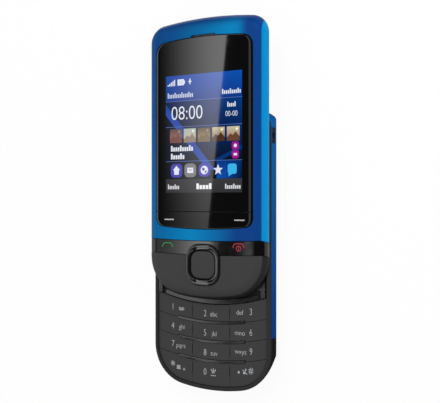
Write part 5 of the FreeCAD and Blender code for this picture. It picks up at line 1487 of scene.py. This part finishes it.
# %% World
world = bpy.data.worlds.new("studio")
bpy.context.scene.world = world
world.use_nodes = True
tree = world.node_tree
rays = node(tree, "ShaderNodeLightPath").outputs
overhead = mix(tree, spread(tree, axes(tree, "Generated")["Z"], 0.0, 0.12), grey(0.9), grey(0.03))
ambient = mix(tree, rays["Is Diffuse Ray"], overhead, grey(0.55))
clear = largest(tree, rays["Is Camera Ray"], rays["Is Transmission Ray"])
tree.links.new(mix(tree, clear, ambient, grey(1)), tree.nodes["Background"].inputs["Color"])
print("world set")

# %% Lamps
PANEL_Z = 467


def soft_box(name, place, target, width, height, power):
    data = bpy.data.lights.new(name, "AREA")
    data.shape, data.size, data.size_y, data.energy = "RECTANGLE", width * MM, height * MM, power
    lamp = in_scene(name, data)
    lamp.location = in_metres(*place)
    aim = Vector(in_metres(*target)) - Vector(in_metres(*place))
    lamp.rotation_euler = aim.to_track_quat("-Z", "Y").to_euler()
    lamp.visible_glossy = False


def glow_panel(name, corners, across, along=(0, 1, 1, 1)):
    """A glowing sheet that only reflections see; across and along give (from, to, strength, strength)."""
    material = bpy.data.materials.new(name)
    material.use_nodes = True
    tree = material.node_tree
    tree.nodes.remove(tree.nodes["Principled BSDF"])
    place = axes(tree)
    factors = [spread(tree, place[axis], low * MM, high * MM, dim, bright)
               for axis, (low, high, dim, bright) in (("X", across), ("Y", along))]
    light = node(tree, "ShaderNodeEmission", Strength=reckon(tree, "MULTIPLY", *factors))
    tree.links.new(light.outputs[0], tree.nodes["Material Output"].inputs["Surface"])
    panel = sheet(name, corners, PANEL_Z, material)
    panel.visible_camera = panel.visible_diffuse = panel.visible_shadow = False


soft_box("key_box", (100, 350, 600), (0, 0, 0), 400, 300, 3.0)
soft_box("right_box", (600, 0, 250), (0, 0, 10), 250, 500, 0.6)
glow_panel("window_glow", [(-345, -29), (-271, -29), (-246, 190), (-345, 190)], (-335, -245, 0.03, 2.6),
           (-80, 140, 0.3, 1.0))
glow_panel("top_glow", [(-345, 190), (-246, 190), (-230, 700), (-345, 700)], (-335, -245, 0.8, 1.8))
glow_panel("strip_glow", [(-345, -60), (-268, -60), (-264, -29), (-345, -29)], (-325, -268, 0.7, 4.6))
glow_panel("pad_glow", [(-345, -220), (-284, -220), (-268, -60), (-345, -60)], (-345, -268, 1.0, 1.2))
glow_panel("foot_glow", [(-345, -700), (-300, -700), (-284, -220), (-345, -220)], (-345, -284, 1.8, 2.0))
glow_panel("far_glow", rectangle(-4000, -500, -700, 700), (-4000, -500, 1.1, 1.1))
glow_panel("end_glow", rectangle(-229, -220, -60, -29), (-229, -220, 2.0, 1.6))
glow_panel("bevel_glow", rectangle(-175, -105, -300, 300), (-175, -105, 0.6, 0.6))

# %% [markdown]
# ## Last cell
#
# The dressed model has to keep the CAD model's size.

# %% Finish
import json
